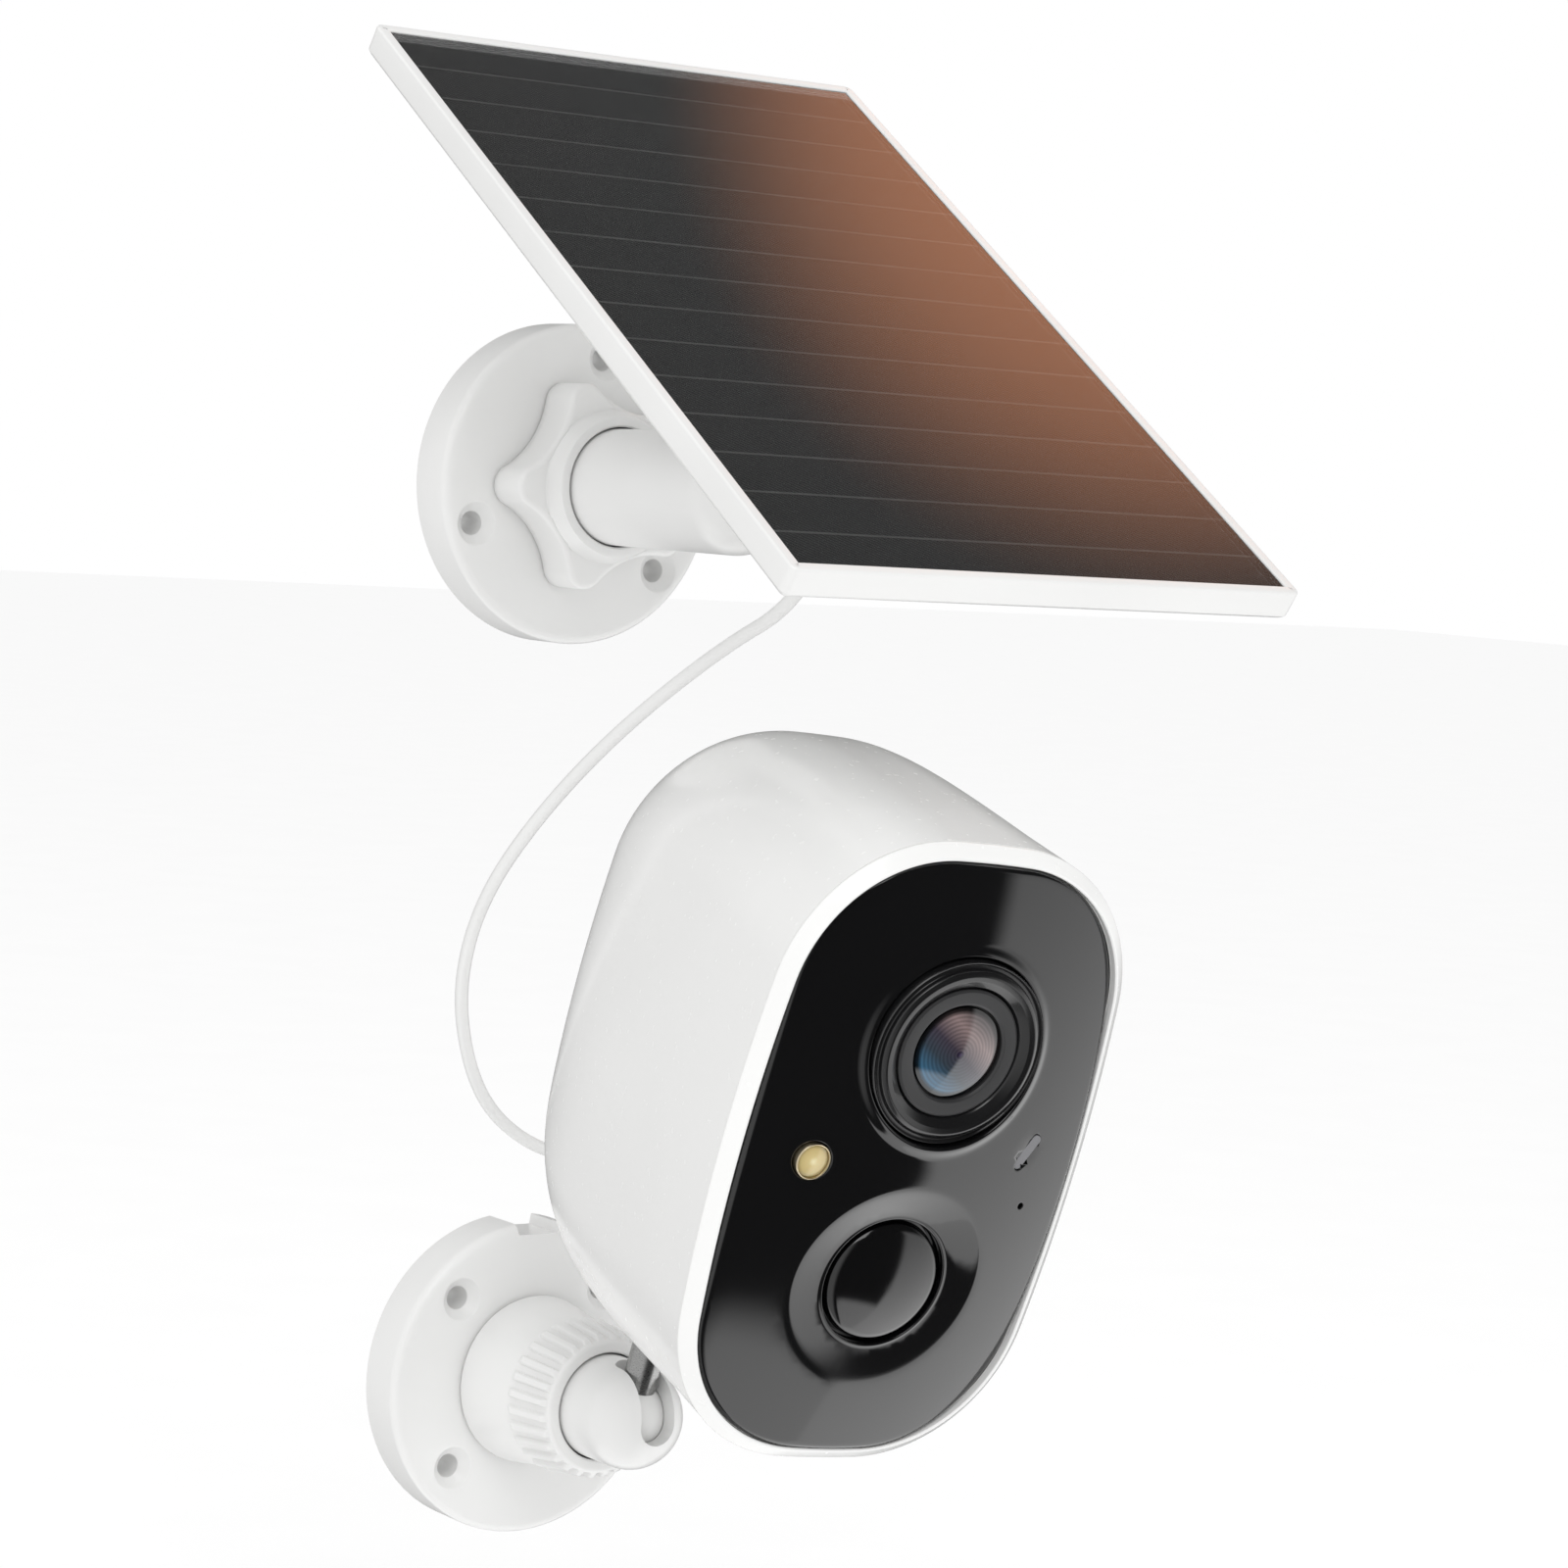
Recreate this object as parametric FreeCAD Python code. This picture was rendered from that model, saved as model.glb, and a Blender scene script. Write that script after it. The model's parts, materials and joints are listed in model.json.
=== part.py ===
# Solar-powered security camera: a battery camera on a ball-joint wall bracket, a solar panel
# on an arm bracket above it, and the cable between them. Millimetres, +Z up. The wall is the
# plane Y = 0 and everything stands out of it towards -Y. The origin is the centre of the
# camera bracket's back face.
import FreeCAD, Part

import math
import os

# ---------------------------------------------------------------- clearances
GAP = 0.3                  # between curved faces of pieces that move apart
FIT = 0.1                  # between pieces that are assembled once
RUN = 0.05                 # radial running clearance of a thread or shaft in its bore

# ---------------------------------------------------------------- wall brackets
BRACKET_SPACING = 158.5    # camera bracket centre to panel bracket centre, up the wall
BASE_R = 28.0              # round wall plates
BASE_T = 9.4
BASE_EDGE = 1.6
BASE_WALL = 2.4
BASE_FLOOR = 3.2           # thickness of the front wall over the hollow back
POST_WALL = 3.4
POST_TOP_T = 3.0
SCREW_HOLE_R = 2.1
SCREW_HEAD_R = 3.7
CAMERA_HOLE_CIRCLE_R = 21.2
CAMERA_HOLE_COUNT = 4
CAMERA_HOLE_START = 45.0
PANEL_HOLE_CIRCLE_R = 22.5
PANEL_HOLE_COUNT = 3
PANEL_HOLE_START = 80.0
NOTCH_W = 8.0              # cable notch in the top of the camera bracket's rim
NOTCH_DEPTH = 2.2

# ---------------------------------------------------------------- ball joints
WASHER_T = 0.6
WASHER_HOLE_R = 2.0
BALL_R = 6.2
SEAT_CUP = 2.6             # how far the ball seat's cup reaches round the ball
ROD_R = 3.0
THREAD_R = 3.1
SLOT_R = 3.4               # half width of the slot that the stem tilts in
FLANGE_T = 2.8
LOCK_R = 7.5               # lock ring on the stem's thread
LOCK_T = 4.0
LOCK_GRIPS = 18
LOCK_GRIP_R = 0.5
THREAD_RUNOUT = 2.0        # thread that shows under a lock ring
INSERT_R = 4.5             # brass insert that the stem screws into
INSERT_L = 8.0
INSERT_BORE_R = 3.18

# ---------------------------------------------------------------- camera bracket
KNOB_REAR_R = 15.1         # clamp knob, a ribbed cone
KNOB_FRONT_R = 11.65
KNOB_L = 24.5
KNOB_LIP = 5.1
POST_R = 10.4
POST_L = 14.6              # post in front of the wall plate
RIB_COUNT = 28
RIB_W = 1.2
RIB_L = 11.0
RIB_H = 0.85
RIB_END = 0.4              # plain edge in front of the ribs
RIB_ROOT = 0.5             # how far a rib starts inside the cone
HEAD_R = 9.1               # dome head
HEAD_OUT = 7.5             # ball centre beyond the knob's front
HEAD_FLANGE_R = 10.2

# ---------------------------------------------------------------- panel bracket
STAR_LOBES = 5             # clamp knob, a star with a collar
STAR_START = 39.0
STAR_R = 18.5
STAR_WAIST_R = 13.6
STAR_LOBE_R = 3.6
STAR_T = 9.2
STAR_LIP = 1.2             # thickness of the lip behind the star's front
STAR_COLLAR_T = 3.2
STAR_COLLAR_TAPER = 1.4
STAR_POST_R = 11.6
STAR_POST_L = 4.0
ARM_R = 10.1
ARM_FLANGE_R = 11.5
ARM_OUT = 34.6             # ball centre beyond the collar

# ---------------------------------------------------------------- how it is set at rest, degrees
HEAD_SWIVEL = 3.45
STEM_TILT = 15.25
CAMERA_PAN = -4.6
PANEL_TILT = 33.5

# ---------------------------------------------------------------- camera front
FACE_HALF_W = 31.0         # outline of the front plate: corner arcs between long side and end arcs
FACE_HALF_H = 50.0
FACE_CORNER_R = 24.0
FACE_SIDE_R = 300.0
FACE_END_R = 200.0
DOME_H = 6.0               # the plate's crown, a barrel surface with these two radii
DOME_SIDE_R = 98.6
DOME_TALL_R = 278.0
PLATE_T = 2.0
PLATE_SEAT = 0.5           # depth at which the plate lands on the bezel
PLATE_SLACK = 0.15
BEZEL_BAND = 2.5           # white sloping band round the plate
BEZEL_LIP = 0.5            # width of the band's front edge
BEZEL_FRONT = -0.9
BEZEL_T = 1.4
BEZEL_STEP = 0.8
BEZEL_FLANGE_W = 7.0
BEZEL_FLANGE_T = 1.5
SKIRT_IN = 1.0
SKIRT_T = 1.4
SKIRT_L = 9.0
GASKET_T = 1.4
GASKET_IN = 0.4            # gasket's outer edge inside the plate's outline

LENS_Z = 20.4
LENS_FRONT = -6.3
LENS_HOLE_R = 15.5
LENS_RING_CREST_R = 13.2
LENS_RING_IN_R = 10.75
LENS_RING_BACK = 1.2
LENS_CONE_DEPTH = 1.5      # how far the bezel ring falls to the retaining ring
RETAINER_IN_R = 7.9
RETAINER_T = 1.3
GLASS_R = 7.7
GLASS_DOME_R = 24.0
BARREL_R = 9.9
BARREL_BORE_R = 7.0
BARREL_FLANGE_R = 11.6
BARREL_FLANGE_Y = 7.0
SENSOR_BOARD_HALF = 12.0

PIR_Z = -19.6              # motion sensor: a conical dish round a dark dome
PIR_DISH_R = 17.0
PIR_HOLE_R = 10.8
PIR_DEPTH = -3.0
PIR_WALL = 1.4
PIR_LENS_R = 9.9
PIR_LENS_FRONT = -5.2
PIR_LENS_DOME_R = 26.7
PIR_LENS_T = 0.9
PIR_FLANGE_R = 12.2
PIR_CAN_R = 4.6
PIR_CAN_L = 4.4

LED_X = -19.9
LED_Z = 0.6
LED_R = 3.1
LED_RING_T = 0.55
LED_PROUD = 0.5
LED_CHIP = 1.8
PILL_X = 19.3              # status light, a leaning bar
PILL_Z = 4.2
PILL_L = 6.4
PILL_W = 1.6
PILL_LEAN = 27.0
MIC_X = 21.4
MIC_Z = -5.2
MIC_R = 0.55
MIC_BODY_R = 1.9
MIC_BODY_T = 2.2
MIC_GAP = 0.8              # room behind the curved plate

# ---------------------------------------------------------------- camera body
BODY_D = 75.0              # depth behind the plate's outline plane
BODY_TAPER = 0.2           # how much narrower the back is
BODY_FLARE = 0.04          # how much taller the back is before it rounds over
BODY_SIDE_POWER = 8.0      # how late the sides and the ends turn in
BODY_END_POWER = 4.8
BODY_BACK = 0.9965         # share of the depth where the curve stops at the flat back
BODY_WALL = 2.2
CUT_ANGLE = 56.0           # rear-bottom flat, its normal's angle from straight down
CUT_IN = 23.5              # where the flat starts, in from the back
CUT_DOWN = 2.0             # and below the plate's half height

BALL_IN = 19.0             # ball centre in from the body's back
BALL_DOWN = 23.8           # and below the plate's half height
INSERT_UP = 4.0            # boss face above the plate's half height
BOSS_WALL = 1.8
LOCK_POCKET = 0.6          # radial room round the lock ring
BOARD_IN = 9.0             # main board's outline inside the plate's
BOARD_Y = 9.5
BOARD_T = 1.6
BOARD_SCREW_IN = 11.5
BOARD_SCREW_DOWN = 15.0
BOARD_BOSS_R = 2.4
SCREW_R = 0.9
SCREW_HEAD_T = 1.3
BOARD_SCREW_L = 4.9
BOARD_SCREW_HEAD_R = 1.9
CASE_SCREW_IN = 5.7
CASE_SCREW_Z = 20.0
CASE_SCREW_L = 8.5
CASE_SCREW_HEAD_R = 2.0
CASE_SCREW_SINK = 0.75     # how deep its head sits in the bezel's flange
CASE_BOSS_R = 2.5
CASE_BOSS_L = 17.0
WEB_T = 2.4
WEB_Y = 11.0

CELL_R = 9.2
CELL_L = 65.0
CELL_SPACE = 0.5
HOLDER_WALL = 2.5
HOLDER_GRIP = 2.0          # how far its walls reach past the cells' centres
HOLDER_RIB_Z = 22.0
HOLDER_RIB_T = 3.0
HOLDER_RIB_L = 12.0
SPEAKER_R = 10.0
SPEAKER_T = 4.5
SPEAKER_Y = 24.0
SPEAKER_HOLE_R = 0.8
SPEAKER_HOLE_PITCH = 4.0
ANTENNA_W = 12.0
ANTENNA_L = 26.0
ANTENNA_Y = 17.0
ANTENNA_T = 0.5

PORT_IN = 6.0              # charging port on the rear-bottom flat, in from the back
PORT_W = 13.0
PORT_H = 8.0
PORT_DEPTH = 2.5
PORT_WALL = 2.0
SOCKET_W = 9.6
SOCKET_H = 4.0
SOCKET_T = 0.6
SOCKET_L = 7.5
PLUG_L = 5.8
BOOT_BLOCK = 3.5           # square part of the boot that stands out of the recess
BOOT_OUT = 14.0
BOOT_ROOT_R = 3.3
BOOT_TIP_R = 1.7
BUTTON_X = 14.5
BUTTON_R = 3.0
BUTTON_TRAVEL = 0.6
BUTTON_PROUD = 0.4
BUTTON_CAP_T = 4.6
BUTTON_STEM_R = 1.2
BUTTON_STEM_END = 6.5
SWITCH_HALF = 3.0

# ---------------------------------------------------------------- solar panel
CELLS_W = 94.5
CELLS_H = 148.4
FRAME_RIM = 2.0
FRAME_T = 5.6
FRAME_FLOOR = 1.8
FRAME_CORNER_R = 1.5
FRAME_BEVEL = 1.0
LAMINATE_T = 1.2
COVER_T = 2.15
PANEL_STEM = 33.0          # ball centre to the panel's back face
BOX_HALF_W = 22.0          # box on the panel's back
BOX_TOP = 16.0
BOX_BOTTOM = -47.0
BOX_T = 8.0
BOX_WALL = 1.8
BOX_CORNER_R = 6.0
BOX_EDGE_R = 1.6
BOX_SCREW_IN = 5.0
BOX_PAD_R = 3.0
BOX_SCREW_L = 6.0
HUB_R = 8.0
HUB_OUT = 3.0
DIODE_HALF = 10.0
DIODE_LOW = -33.0
DIODE_HIGH = -15.0
GLAND_X = -12.0
GLAND_Y = -38.0
GLAND_R = 4.0
GLAND_COLLAR_R = 5.6
GLAND_COLLAR_T = 1.2
GLAND_ROOT_R = 3.4
GLAND_TIP_R = 1.9
GLAND_L = 12.0

# ---------------------------------------------------------------- cable
CABLE_R = 1.15
# Route from the gland under the panel to the boot behind the camera, chosen by hand.
CABLE_ROUTE = [
    (-12.0, -95.26, 148.37),
    (-12.0, -90.85, 141.70),
    (-18.0, -80.0, 134.0),
    (-25.0, -63.0, 119.6),
    (-28.6, -46.0, 104.0),
    (-28.7, -30.0, 88.3),
    (-24.2, -17.0, 72.5),
    (-17.2, -9.3, 58.3),
    (-9.6, -5.5, 47.8),
    (-1.2, -6.6, 41.4),
    (4.2, -12.0, 39.9),
    (5.08, -20.2, 41.99),
    (4.682, -28.19, 44.744),
]

os.makedirs("parts", exist_ok=True)
V = FreeCAD.Vector
X, Y, Z = V(1, 0, 0), V(0, 1, 0), V(0, 0, 1)
O = V(0, 0, 0)
OUT = V(0, -1, 0)          # out of the wall
FAR = 200.0                # longer than any piece, for cutting tools

# ---------------------------------------------------------------- derived places
POST_END = BASE_T + POST_L
KNOB_END = BASE_T + KNOB_L
STAR_END = BASE_T + STAR_T
STAR_POST_END = BASE_T + STAR_POST_L
CAMERA_BALL = OUT * (KNOB_END + HEAD_OUT)
PANEL_BALL = OUT * (STAR_END + STAR_COLLAR_T + ARM_OUT) + Z * BRACKET_SPACING
BALL_BEHIND = BODY_D - BALL_IN
BALL_BELOW = FACE_HALF_H + BALL_DOWN
INSERT_Z = INSERT_UP - FACE_HALF_H
BOSS_R = LOCK_R + LOCK_POCKET + BOSS_WALL
CELL_Y = BALL_BEHIND - BOSS_R - CELL_R - GAP
SEAT_Y = PLATE_SEAT + FIT              # front of the bezel's flange
FLANGE_BACK = SEAT_Y + BEZEL_FLANGE_T
SHELL_START = BEZEL_T + FIT
CASE_SCREW_X = FACE_HALF_W - CASE_SCREW_IN
BOARD_SCREW_X = FACE_HALF_W - BOARD_SCREW_IN
BOARD_SCREW_Z = FACE_HALF_H - BOARD_SCREW_DOWN
SENSOR_Y = BOARD_Y + BOARD_T + 0.8     # image sensor, behind the lens barrel
BOX_BACK = PANEL_STEM - BOX_T
HUB_FACE = BOX_BACK - HUB_OUT


def turned(axis, degrees):
    return FreeCAD.Placement(O, FreeCAD.Rotation(axis, degrees))


def moved(vector):
    return FreeCAD.Placement(vector, FreeCAD.Rotation())


UPPER_WALL_FRAME = moved(Z * BRACKET_SPACING)
HEAD_FRAME = moved(CAMERA_BALL) * turned(Y, HEAD_SWIVEL)
STEM_FRAME = HEAD_FRAME * turned(X, STEM_TILT)
CAMERA_FRAME = STEM_FRAME * turned(Z, CAMERA_PAN) * moved(V(0, -BALL_BEHIND, BALL_BELOW))
ARM_FRAME = moved(PANEL_BALL)
PANEL_FRAME = ARM_FRAME * turned(X, PANEL_TILT)

CUT_NORMAL = V(0, math.sin(math.radians(CUT_ANGLE)), -math.cos(math.radians(CUT_ANGLE)))
CUT_REACH = CUT_NORMAL.dot(V(0, BODY_D - CUT_IN, -FACE_HALF_H - CUT_DOWN))
PORT_Y = BODY_D - PORT_IN
PORT_Z = (CUT_NORMAL.y * PORT_Y - CUT_REACH) / -CUT_NORMAL.z
# Frame of the charging port: its origin is on the flat and its +Z points outwards.
PORT_FRAME = FreeCAD.Placement(V(0, PORT_Y, PORT_Z), FreeCAD.Rotation(X, CUT_ANGLE + 180))


# ---------------------------------------------------------------- small makers
def placed(shape, frame):
    """Copy of a shape carried into a frame."""
    out = shape.copy()
    out.Placement = frame * out.Placement
    return out


def save(name, shape, frame=moved(O)):
    placed(shape, frame).exportStep("parts/" + name + ".step")


def cyl(r, length, base=O, axis=Z):
    return Part.makeCylinder(r, length, base, axis)


def tube(r_out, r_in, length, base=O, axis=Z):
    return cyl(r_out, length, base, axis).cut(cyl(r_in, length, base, axis))


def box(x0, x1, y0, y1, z0, z1):
    return Part.makeBox(x1 - x0, y1 - y0, z1 - z0, V(x0, y0, z0))


def spun(points, origin=O, axis=OUT):
    """Solid of revolution; points are (radius, distance along the axis)."""
    corners = [origin + X * r + axis * d for r, d in points]
    return Part.Face(Part.makePolygon(corners + corners[:1])).revolve(origin, axis, 360)


def joined(shapes):
    out = shapes[0]
    for s in shapes[1:]:
        out = out.fuse(s)
    return out.removeSplitter()


def without(shape, tools):
    for t in tools:
        shape = shape.cut(t)
    return shape


def corners(x, z):
    return [(sx * x, sz * z) for sx in (1, -1) for sz in (1, -1)]


def upright(edge):
    """True for an edge that runs along Z."""
    a, b = edge.Vertexes[0].Point, edge.Vertexes[-1].Point
    return abs(a.z - b.z) > 1 and abs(a.x - b.x) + abs(a.y - b.y) < 0.01


def at_height(shape, z):
    return [e for e in shape.Edges if all(abs(v.Z - z) < 0.01 for v in e.Vertexes)]


# ---------------------------------------------------------------- wall brackets
def wall_base(hole_circle_r, hole_count, hole_start, post_r, post_end):
    """Round wall plate, hollow behind, with screw bosses and the post that the knob runs on."""
    e, t, r = BASE_EDGE, BASE_T, BASE_R
    plate = spun([(0, 0), (r, 0), (r, t - e), (r - e, t), (post_r, t), (post_r, post_end), (0, post_end)])
    floor = t - BASE_FLOOR
    hollow = tube(r - BASE_WALL, post_r, floor, O, OUT)
    body = plate.cut(hollow)
    sink = SCREW_HEAD_R - SCREW_HOLE_R
    holes = [cyl(post_r - POST_WALL, post_end - POST_TOP_T, O, OUT)]
    for i in range(hole_count):
        a = math.radians(hole_start + 360.0 * i / hole_count)
        c = V(hole_circle_r * math.cos(a), 0, hole_circle_r * math.sin(a))
        body = body.fuse(cyl(SCREW_HEAD_R, t - e, c, OUT).common(cyl(r - e, t, O, OUT)))
        holes.append(cyl(SCREW_HOLE_R, t, c, OUT))
        holes.append(Part.makeCone(SCREW_HOLE_R, SCREW_HEAD_R, sink, c + OUT * (t - sink), OUT))
    return without(body, holes).removeSplitter()


def clamp_knob():
    """Conical knob whose front lip traps the head's flange; ribs rise from its front half."""
    start = BASE_T + GAP
    lip = KNOB_END - KNOB_LIP
    slope = (KNOB_REAR_R - KNOB_FRONT_R) / KNOB_L
    body = spun([(POST_R + GAP, start), (KNOB_REAR_R - GAP * slope, start), (KNOB_FRONT_R, KNOB_END),
                 (HEAD_R + GAP, KNOB_END), (HEAD_R + GAP, lip), (POST_R + GAP, lip)])
    ribs = []
    for i in range(RIB_COUNT):
        rib = box(0, KNOB_REAR_R, -KNOB_END, RIB_L - KNOB_END, -RIB_W / 2, RIB_W / 2)
        rib.rotate(O, Y, 360.0 * i / RIB_COUNT)
        ribs.append(rib)
    root_r = KNOB_FRONT_R - RIB_ROOT
    top_r = KNOB_FRONT_R + RIB_H
    rear_r = KNOB_FRONT_R + RIB_L * slope
    back, front = KNOB_END - RIB_L, KNOB_END - RIB_END
    limit = spun([(root_r, back), (rear_r, back), (max(top_r, rear_r), back + RIB_L / 3), (top_r, front),
                  (root_r, front)])
    return body.fuse(joined(ribs).common(limit)).removeSplitter()


def star_wire(y):
    """Star outline in the plane y: round lobes joined by tangent hollows."""
    step = math.pi / STAR_LOBES
    out = STAR_R - STAR_LOBE_R
    k = STAR_LOBE_R - STAR_WAIST_R
    hollow_out = (out * out - k * k) / (2 * (out * math.cos(step) + k))

    def at(r, angle):
        return V(r * math.cos(angle), y, r * math.sin(angle))

    edges = []
    for i in range(STAR_LOBES):
        a = math.radians(STAR_START) + 2 * step * i
        lobe, next_lobe = at(out, a), at(out, a + 2 * step)
        before, after = at(hollow_out, a - step), at(hollow_out, a + step)
        t1 = lobe + (before - lobe).normalize() * STAR_LOBE_R
        t2 = lobe + (after - lobe).normalize() * STAR_LOBE_R
        t3 = next_lobe + (after - next_lobe).normalize() * STAR_LOBE_R
        edges.append(Part.Arc(t1, at(STAR_R, a), t2).toShape())
        edges.append(Part.Arc(t2, at(STAR_WAIST_R, a + step), t3).toShape())
    return Part.Wire(edges)


def star_knob():
    """Lobed knob with a collar round the arm and a lip that traps the arm's flange."""
    start = BASE_T + GAP
    star = Part.Face(star_wire(-start)).extrude(OUT * (STAR_END - start))
    half = STAR_T / 2
    front = STAR_END + STAR_COLLAR_T
    collar = spun([(0, STAR_END - half), (STAR_WAIST_R, STAR_END - half), (STAR_WAIST_R, STAR_END),
                   (STAR_WAIST_R - STAR_COLLAR_TAPER, front), (0, front)])
    bore = cyl(ARM_R + GAP, FAR, O, OUT)
    cavity = cyl(STAR_POST_R + GAP, STAR_END - STAR_LIP, O, OUT)
    return without(star.fuse(collar), [bore, cavity]).removeSplitter()


def ball_head(r, back, flange_r):
    """Round-ended head in the ball's frame: flange at the back, cup for the ball, slot for the stem.
    The slot runs from straight up to straight out of the wall."""
    rear = V(0, back, 0)
    body = joined([cyl(r, back, rear, OUT), Part.makeSphere(r), cyl(flange_r, FLANGE_T, rear, OUT)])
    cup_r = BALL_R + FIT
    slot = joined([cyl(SLOT_R, FAR), cyl(SLOT_R, FAR, O, OUT), box(-SLOT_R, SLOT_R, -FAR, 0, 0, FAR)])
    return without(body, [Part.makeSphere(cup_r), cyl(cup_r, back, rear, OUT), slot])


def ball_seat(back):
    """Plug behind the ball, cupped to press on it."""
    plug = cyl(BALL_R, back - BALL_R + SEAT_CUP, V(0, back, 0), OUT)
    return plug.cut(Part.makeSphere(BALL_R + FIT))


def ball_stem(boss_face):
    """Steel ball on a rod along +Z, threaded at its end, in the ball's frame."""
    thread_from = boss_face - GAP - LOCK_T - THREAD_RUNOUT
    thread_to = boss_face + INSERT_L - 1
    return joined([Part.makeSphere(BALL_R), cyl(ROD_R, thread_from),
                   cyl(THREAD_R, thread_to - thread_from, Z * thread_from)])


def lock_ring(boss_face):
    """Knurled ring nut on the stem's thread, just under the boss."""
    z0 = boss_face - GAP - LOCK_T
    ring = tube(LOCK_R, THREAD_R + RUN, LOCK_T, Z * z0)
    grips = []
    for i in range(LOCK_GRIPS):
        a = 2 * math.pi * i / LOCK_GRIPS
        grips.append(cyl(LOCK_GRIP_R, LOCK_T, V(LOCK_R * math.cos(a), LOCK_R * math.sin(a), z0)))
    return without(ring, grips)


def insert(z):
    return tube(INSERT_R, INSERT_BORE_R, INSERT_L - FIT, Z * z)


def washer(post_r, y):
    return tube(post_r - BASE_EDGE / 2, WASHER_HOLE_R, WASHER_T, OUT * y, OUT)


def make_camera_bracket():
    base = wall_base(CAMERA_HOLE_CIRCLE_R, CAMERA_HOLE_COUNT, CAMERA_HOLE_START, POST_R, POST_END)
    notch = box(-NOTCH_W / 2, NOTCH_W / 2, -FAR, 0, BASE_R - NOTCH_DEPTH, FAR)
    save("camera_bracket_base", base.cut(notch))
    save("camera_friction_washer", washer(POST_R, POST_END))
    save("camera_clamp_knob", clamp_knob())
    ball = KNOB_END + HEAD_OUT
    back = ball - (KNOB_END - KNOB_LIP) + FLANGE_T + GAP
    save("camera_head", ball_head(HEAD_R, back, HEAD_FLANGE_R), HEAD_FRAME)
    save("camera_ball_seat", ball_seat(ball - POST_END - WASHER_T - FIT), HEAD_FRAME)
    boss_face = BALL_BELOW + INSERT_Z
    save("camera_ball_stem", ball_stem(boss_face), STEM_FRAME)
    save("camera_lock_ring", lock_ring(boss_face), STEM_FRAME)


def make_panel_bracket():
    base = wall_base(PANEL_HOLE_CIRCLE_R, PANEL_HOLE_COUNT, PANEL_HOLE_START, STAR_POST_R, STAR_POST_END)
    save("panel_bracket_base", base, UPPER_WALL_FRAME)
    save("panel_friction_washer", washer(STAR_POST_R, STAR_POST_END), UPPER_WALL_FRAME)
    save("panel_star_knob", star_knob(), UPPER_WALL_FRAME)
    ball = STAR_END + STAR_COLLAR_T + ARM_OUT
    back = ball - (STAR_END - STAR_LIP) + FLANGE_T + GAP
    save("panel_arm", ball_head(ARM_R, back, ARM_FLANGE_R), ARM_FRAME)
    save("panel_ball_seat", ball_seat(ball - STAR_POST_END - WASHER_T - FIT), ARM_FRAME)
    save("panel_ball_stem", ball_stem(HUB_FACE), PANEL_FRAME)
    save("panel_lock_ring", lock_ring(HUB_FACE), PANEL_FRAME)


# ---------------------------------------------------------------- camera outline
def outline_wire(y, half_w, half_h, corner_r, side_r=FACE_SIDE_R, end_r=FACE_END_R):
    """Outline in the plane y: four corner arcs tangent to long side and end arcs."""
    side = (half_w - side_r, 0.0)
    end = (0.0, half_h - end_r)
    dx, dz = end[0] - side[0], end[1] - side[1]
    d = math.hypot(dx, dz)
    a, b = side_r - corner_r, end_r - corner_r
    along = (a * a - b * b + d * d) / (2 * d)
    across = math.sqrt(a * a - along * along)
    corner = (side[0] + (dx * along - dz * across) / d, side[1] + (dz * along + dx * across) / d)

    def on(centre, through, r):
        ux, uz = through[0] - centre[0], through[1] - centre[1]
        n = math.hypot(ux, uz)
        return (centre[0] + ux / n * r, centre[1] + uz / n * r)

    t1 = on(side, corner, side_r)
    t2 = on(end, corner, end_r)
    m = on(corner, (t1[0] + t2[0] - corner[0], t1[1] + t2[1] - corner[1]), corner_r)

    def flip(p, sx, sz):
        return V(p[0] * sx, y, p[1] * sz)

    edges = []
    for sx, sz in ((1, 1), (-1, 1), (-1, -1), (1, -1)):
        edges.append(Part.Arc(flip(t1, sx, sz), flip(m, sx, sz), flip(t2, sx, sz)))
    for sz in (1, -1):
        edges.append(Part.Arc(flip(t2, 1, sz), flip((0, half_h), 1, sz), flip(t2, -1, sz)))
    for sx in (1, -1):
        edges.append(Part.Arc(flip(t1, sx, 1), flip((half_w, 0), sx, 1), flip(t1, sx, -1)))
    return Part.Wire(Part.sortEdges([e.toShape() for e in edges])[0])


def face_wire(y, offset):
    """The plate's outline, offset outwards, in the plane y."""
    return outline_wire(y, FACE_HALF_W + offset, FACE_HALF_H + offset, FACE_CORNER_R + offset,
                        FACE_SIDE_R + offset, FACE_END_R + offset)


def face_prism(offset, y0, y1):
    return Part.Face(face_wire(y0, offset)).extrude(Y * (y1 - y0))


def face_ring(outer, inner, y0, y1):
    return face_prism(outer, y0, y1).cut(face_prism(inner, y0, y1))


def dome(drop):
    """Barrel surface of the plate's crown as a solid, lowered by drop."""
    return Part.makeTorus(DOME_TALL_R - DOME_SIDE_R, DOME_SIDE_R - drop, Y * (DOME_TALL_R - DOME_H), X)


def crown_y(x, z):
    """Depth of the plate's crown at a place on it, negative towards the front."""
    tall = DOME_TALL_R - DOME_SIDE_R + math.sqrt(DOME_SIDE_R ** 2 - x * x)
    return DOME_TALL_R - DOME_H - math.sqrt(tall * tall - z * z)


def body_section(share, inset):
    """Half width, half height and corner radius at a share of the body's depth."""
    t = share * BODY_BACK
    side = (1 - t ** BODY_SIDE_POWER) ** (1 / BODY_SIDE_POWER) * (1 - BODY_TAPER * t)
    end = (1 - t ** BODY_END_POWER) ** (1 / BODY_END_POWER) * (1 + BODY_FLARE * t)
    w = (FACE_HALF_W + BEZEL_BAND) * side - inset
    h = (FACE_HALF_H + BEZEL_BAND) * end - inset
    return w, h, min(FACE_CORNER_R + BEZEL_BAND - inset, 0.82 * w, 0.8 * h)


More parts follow.
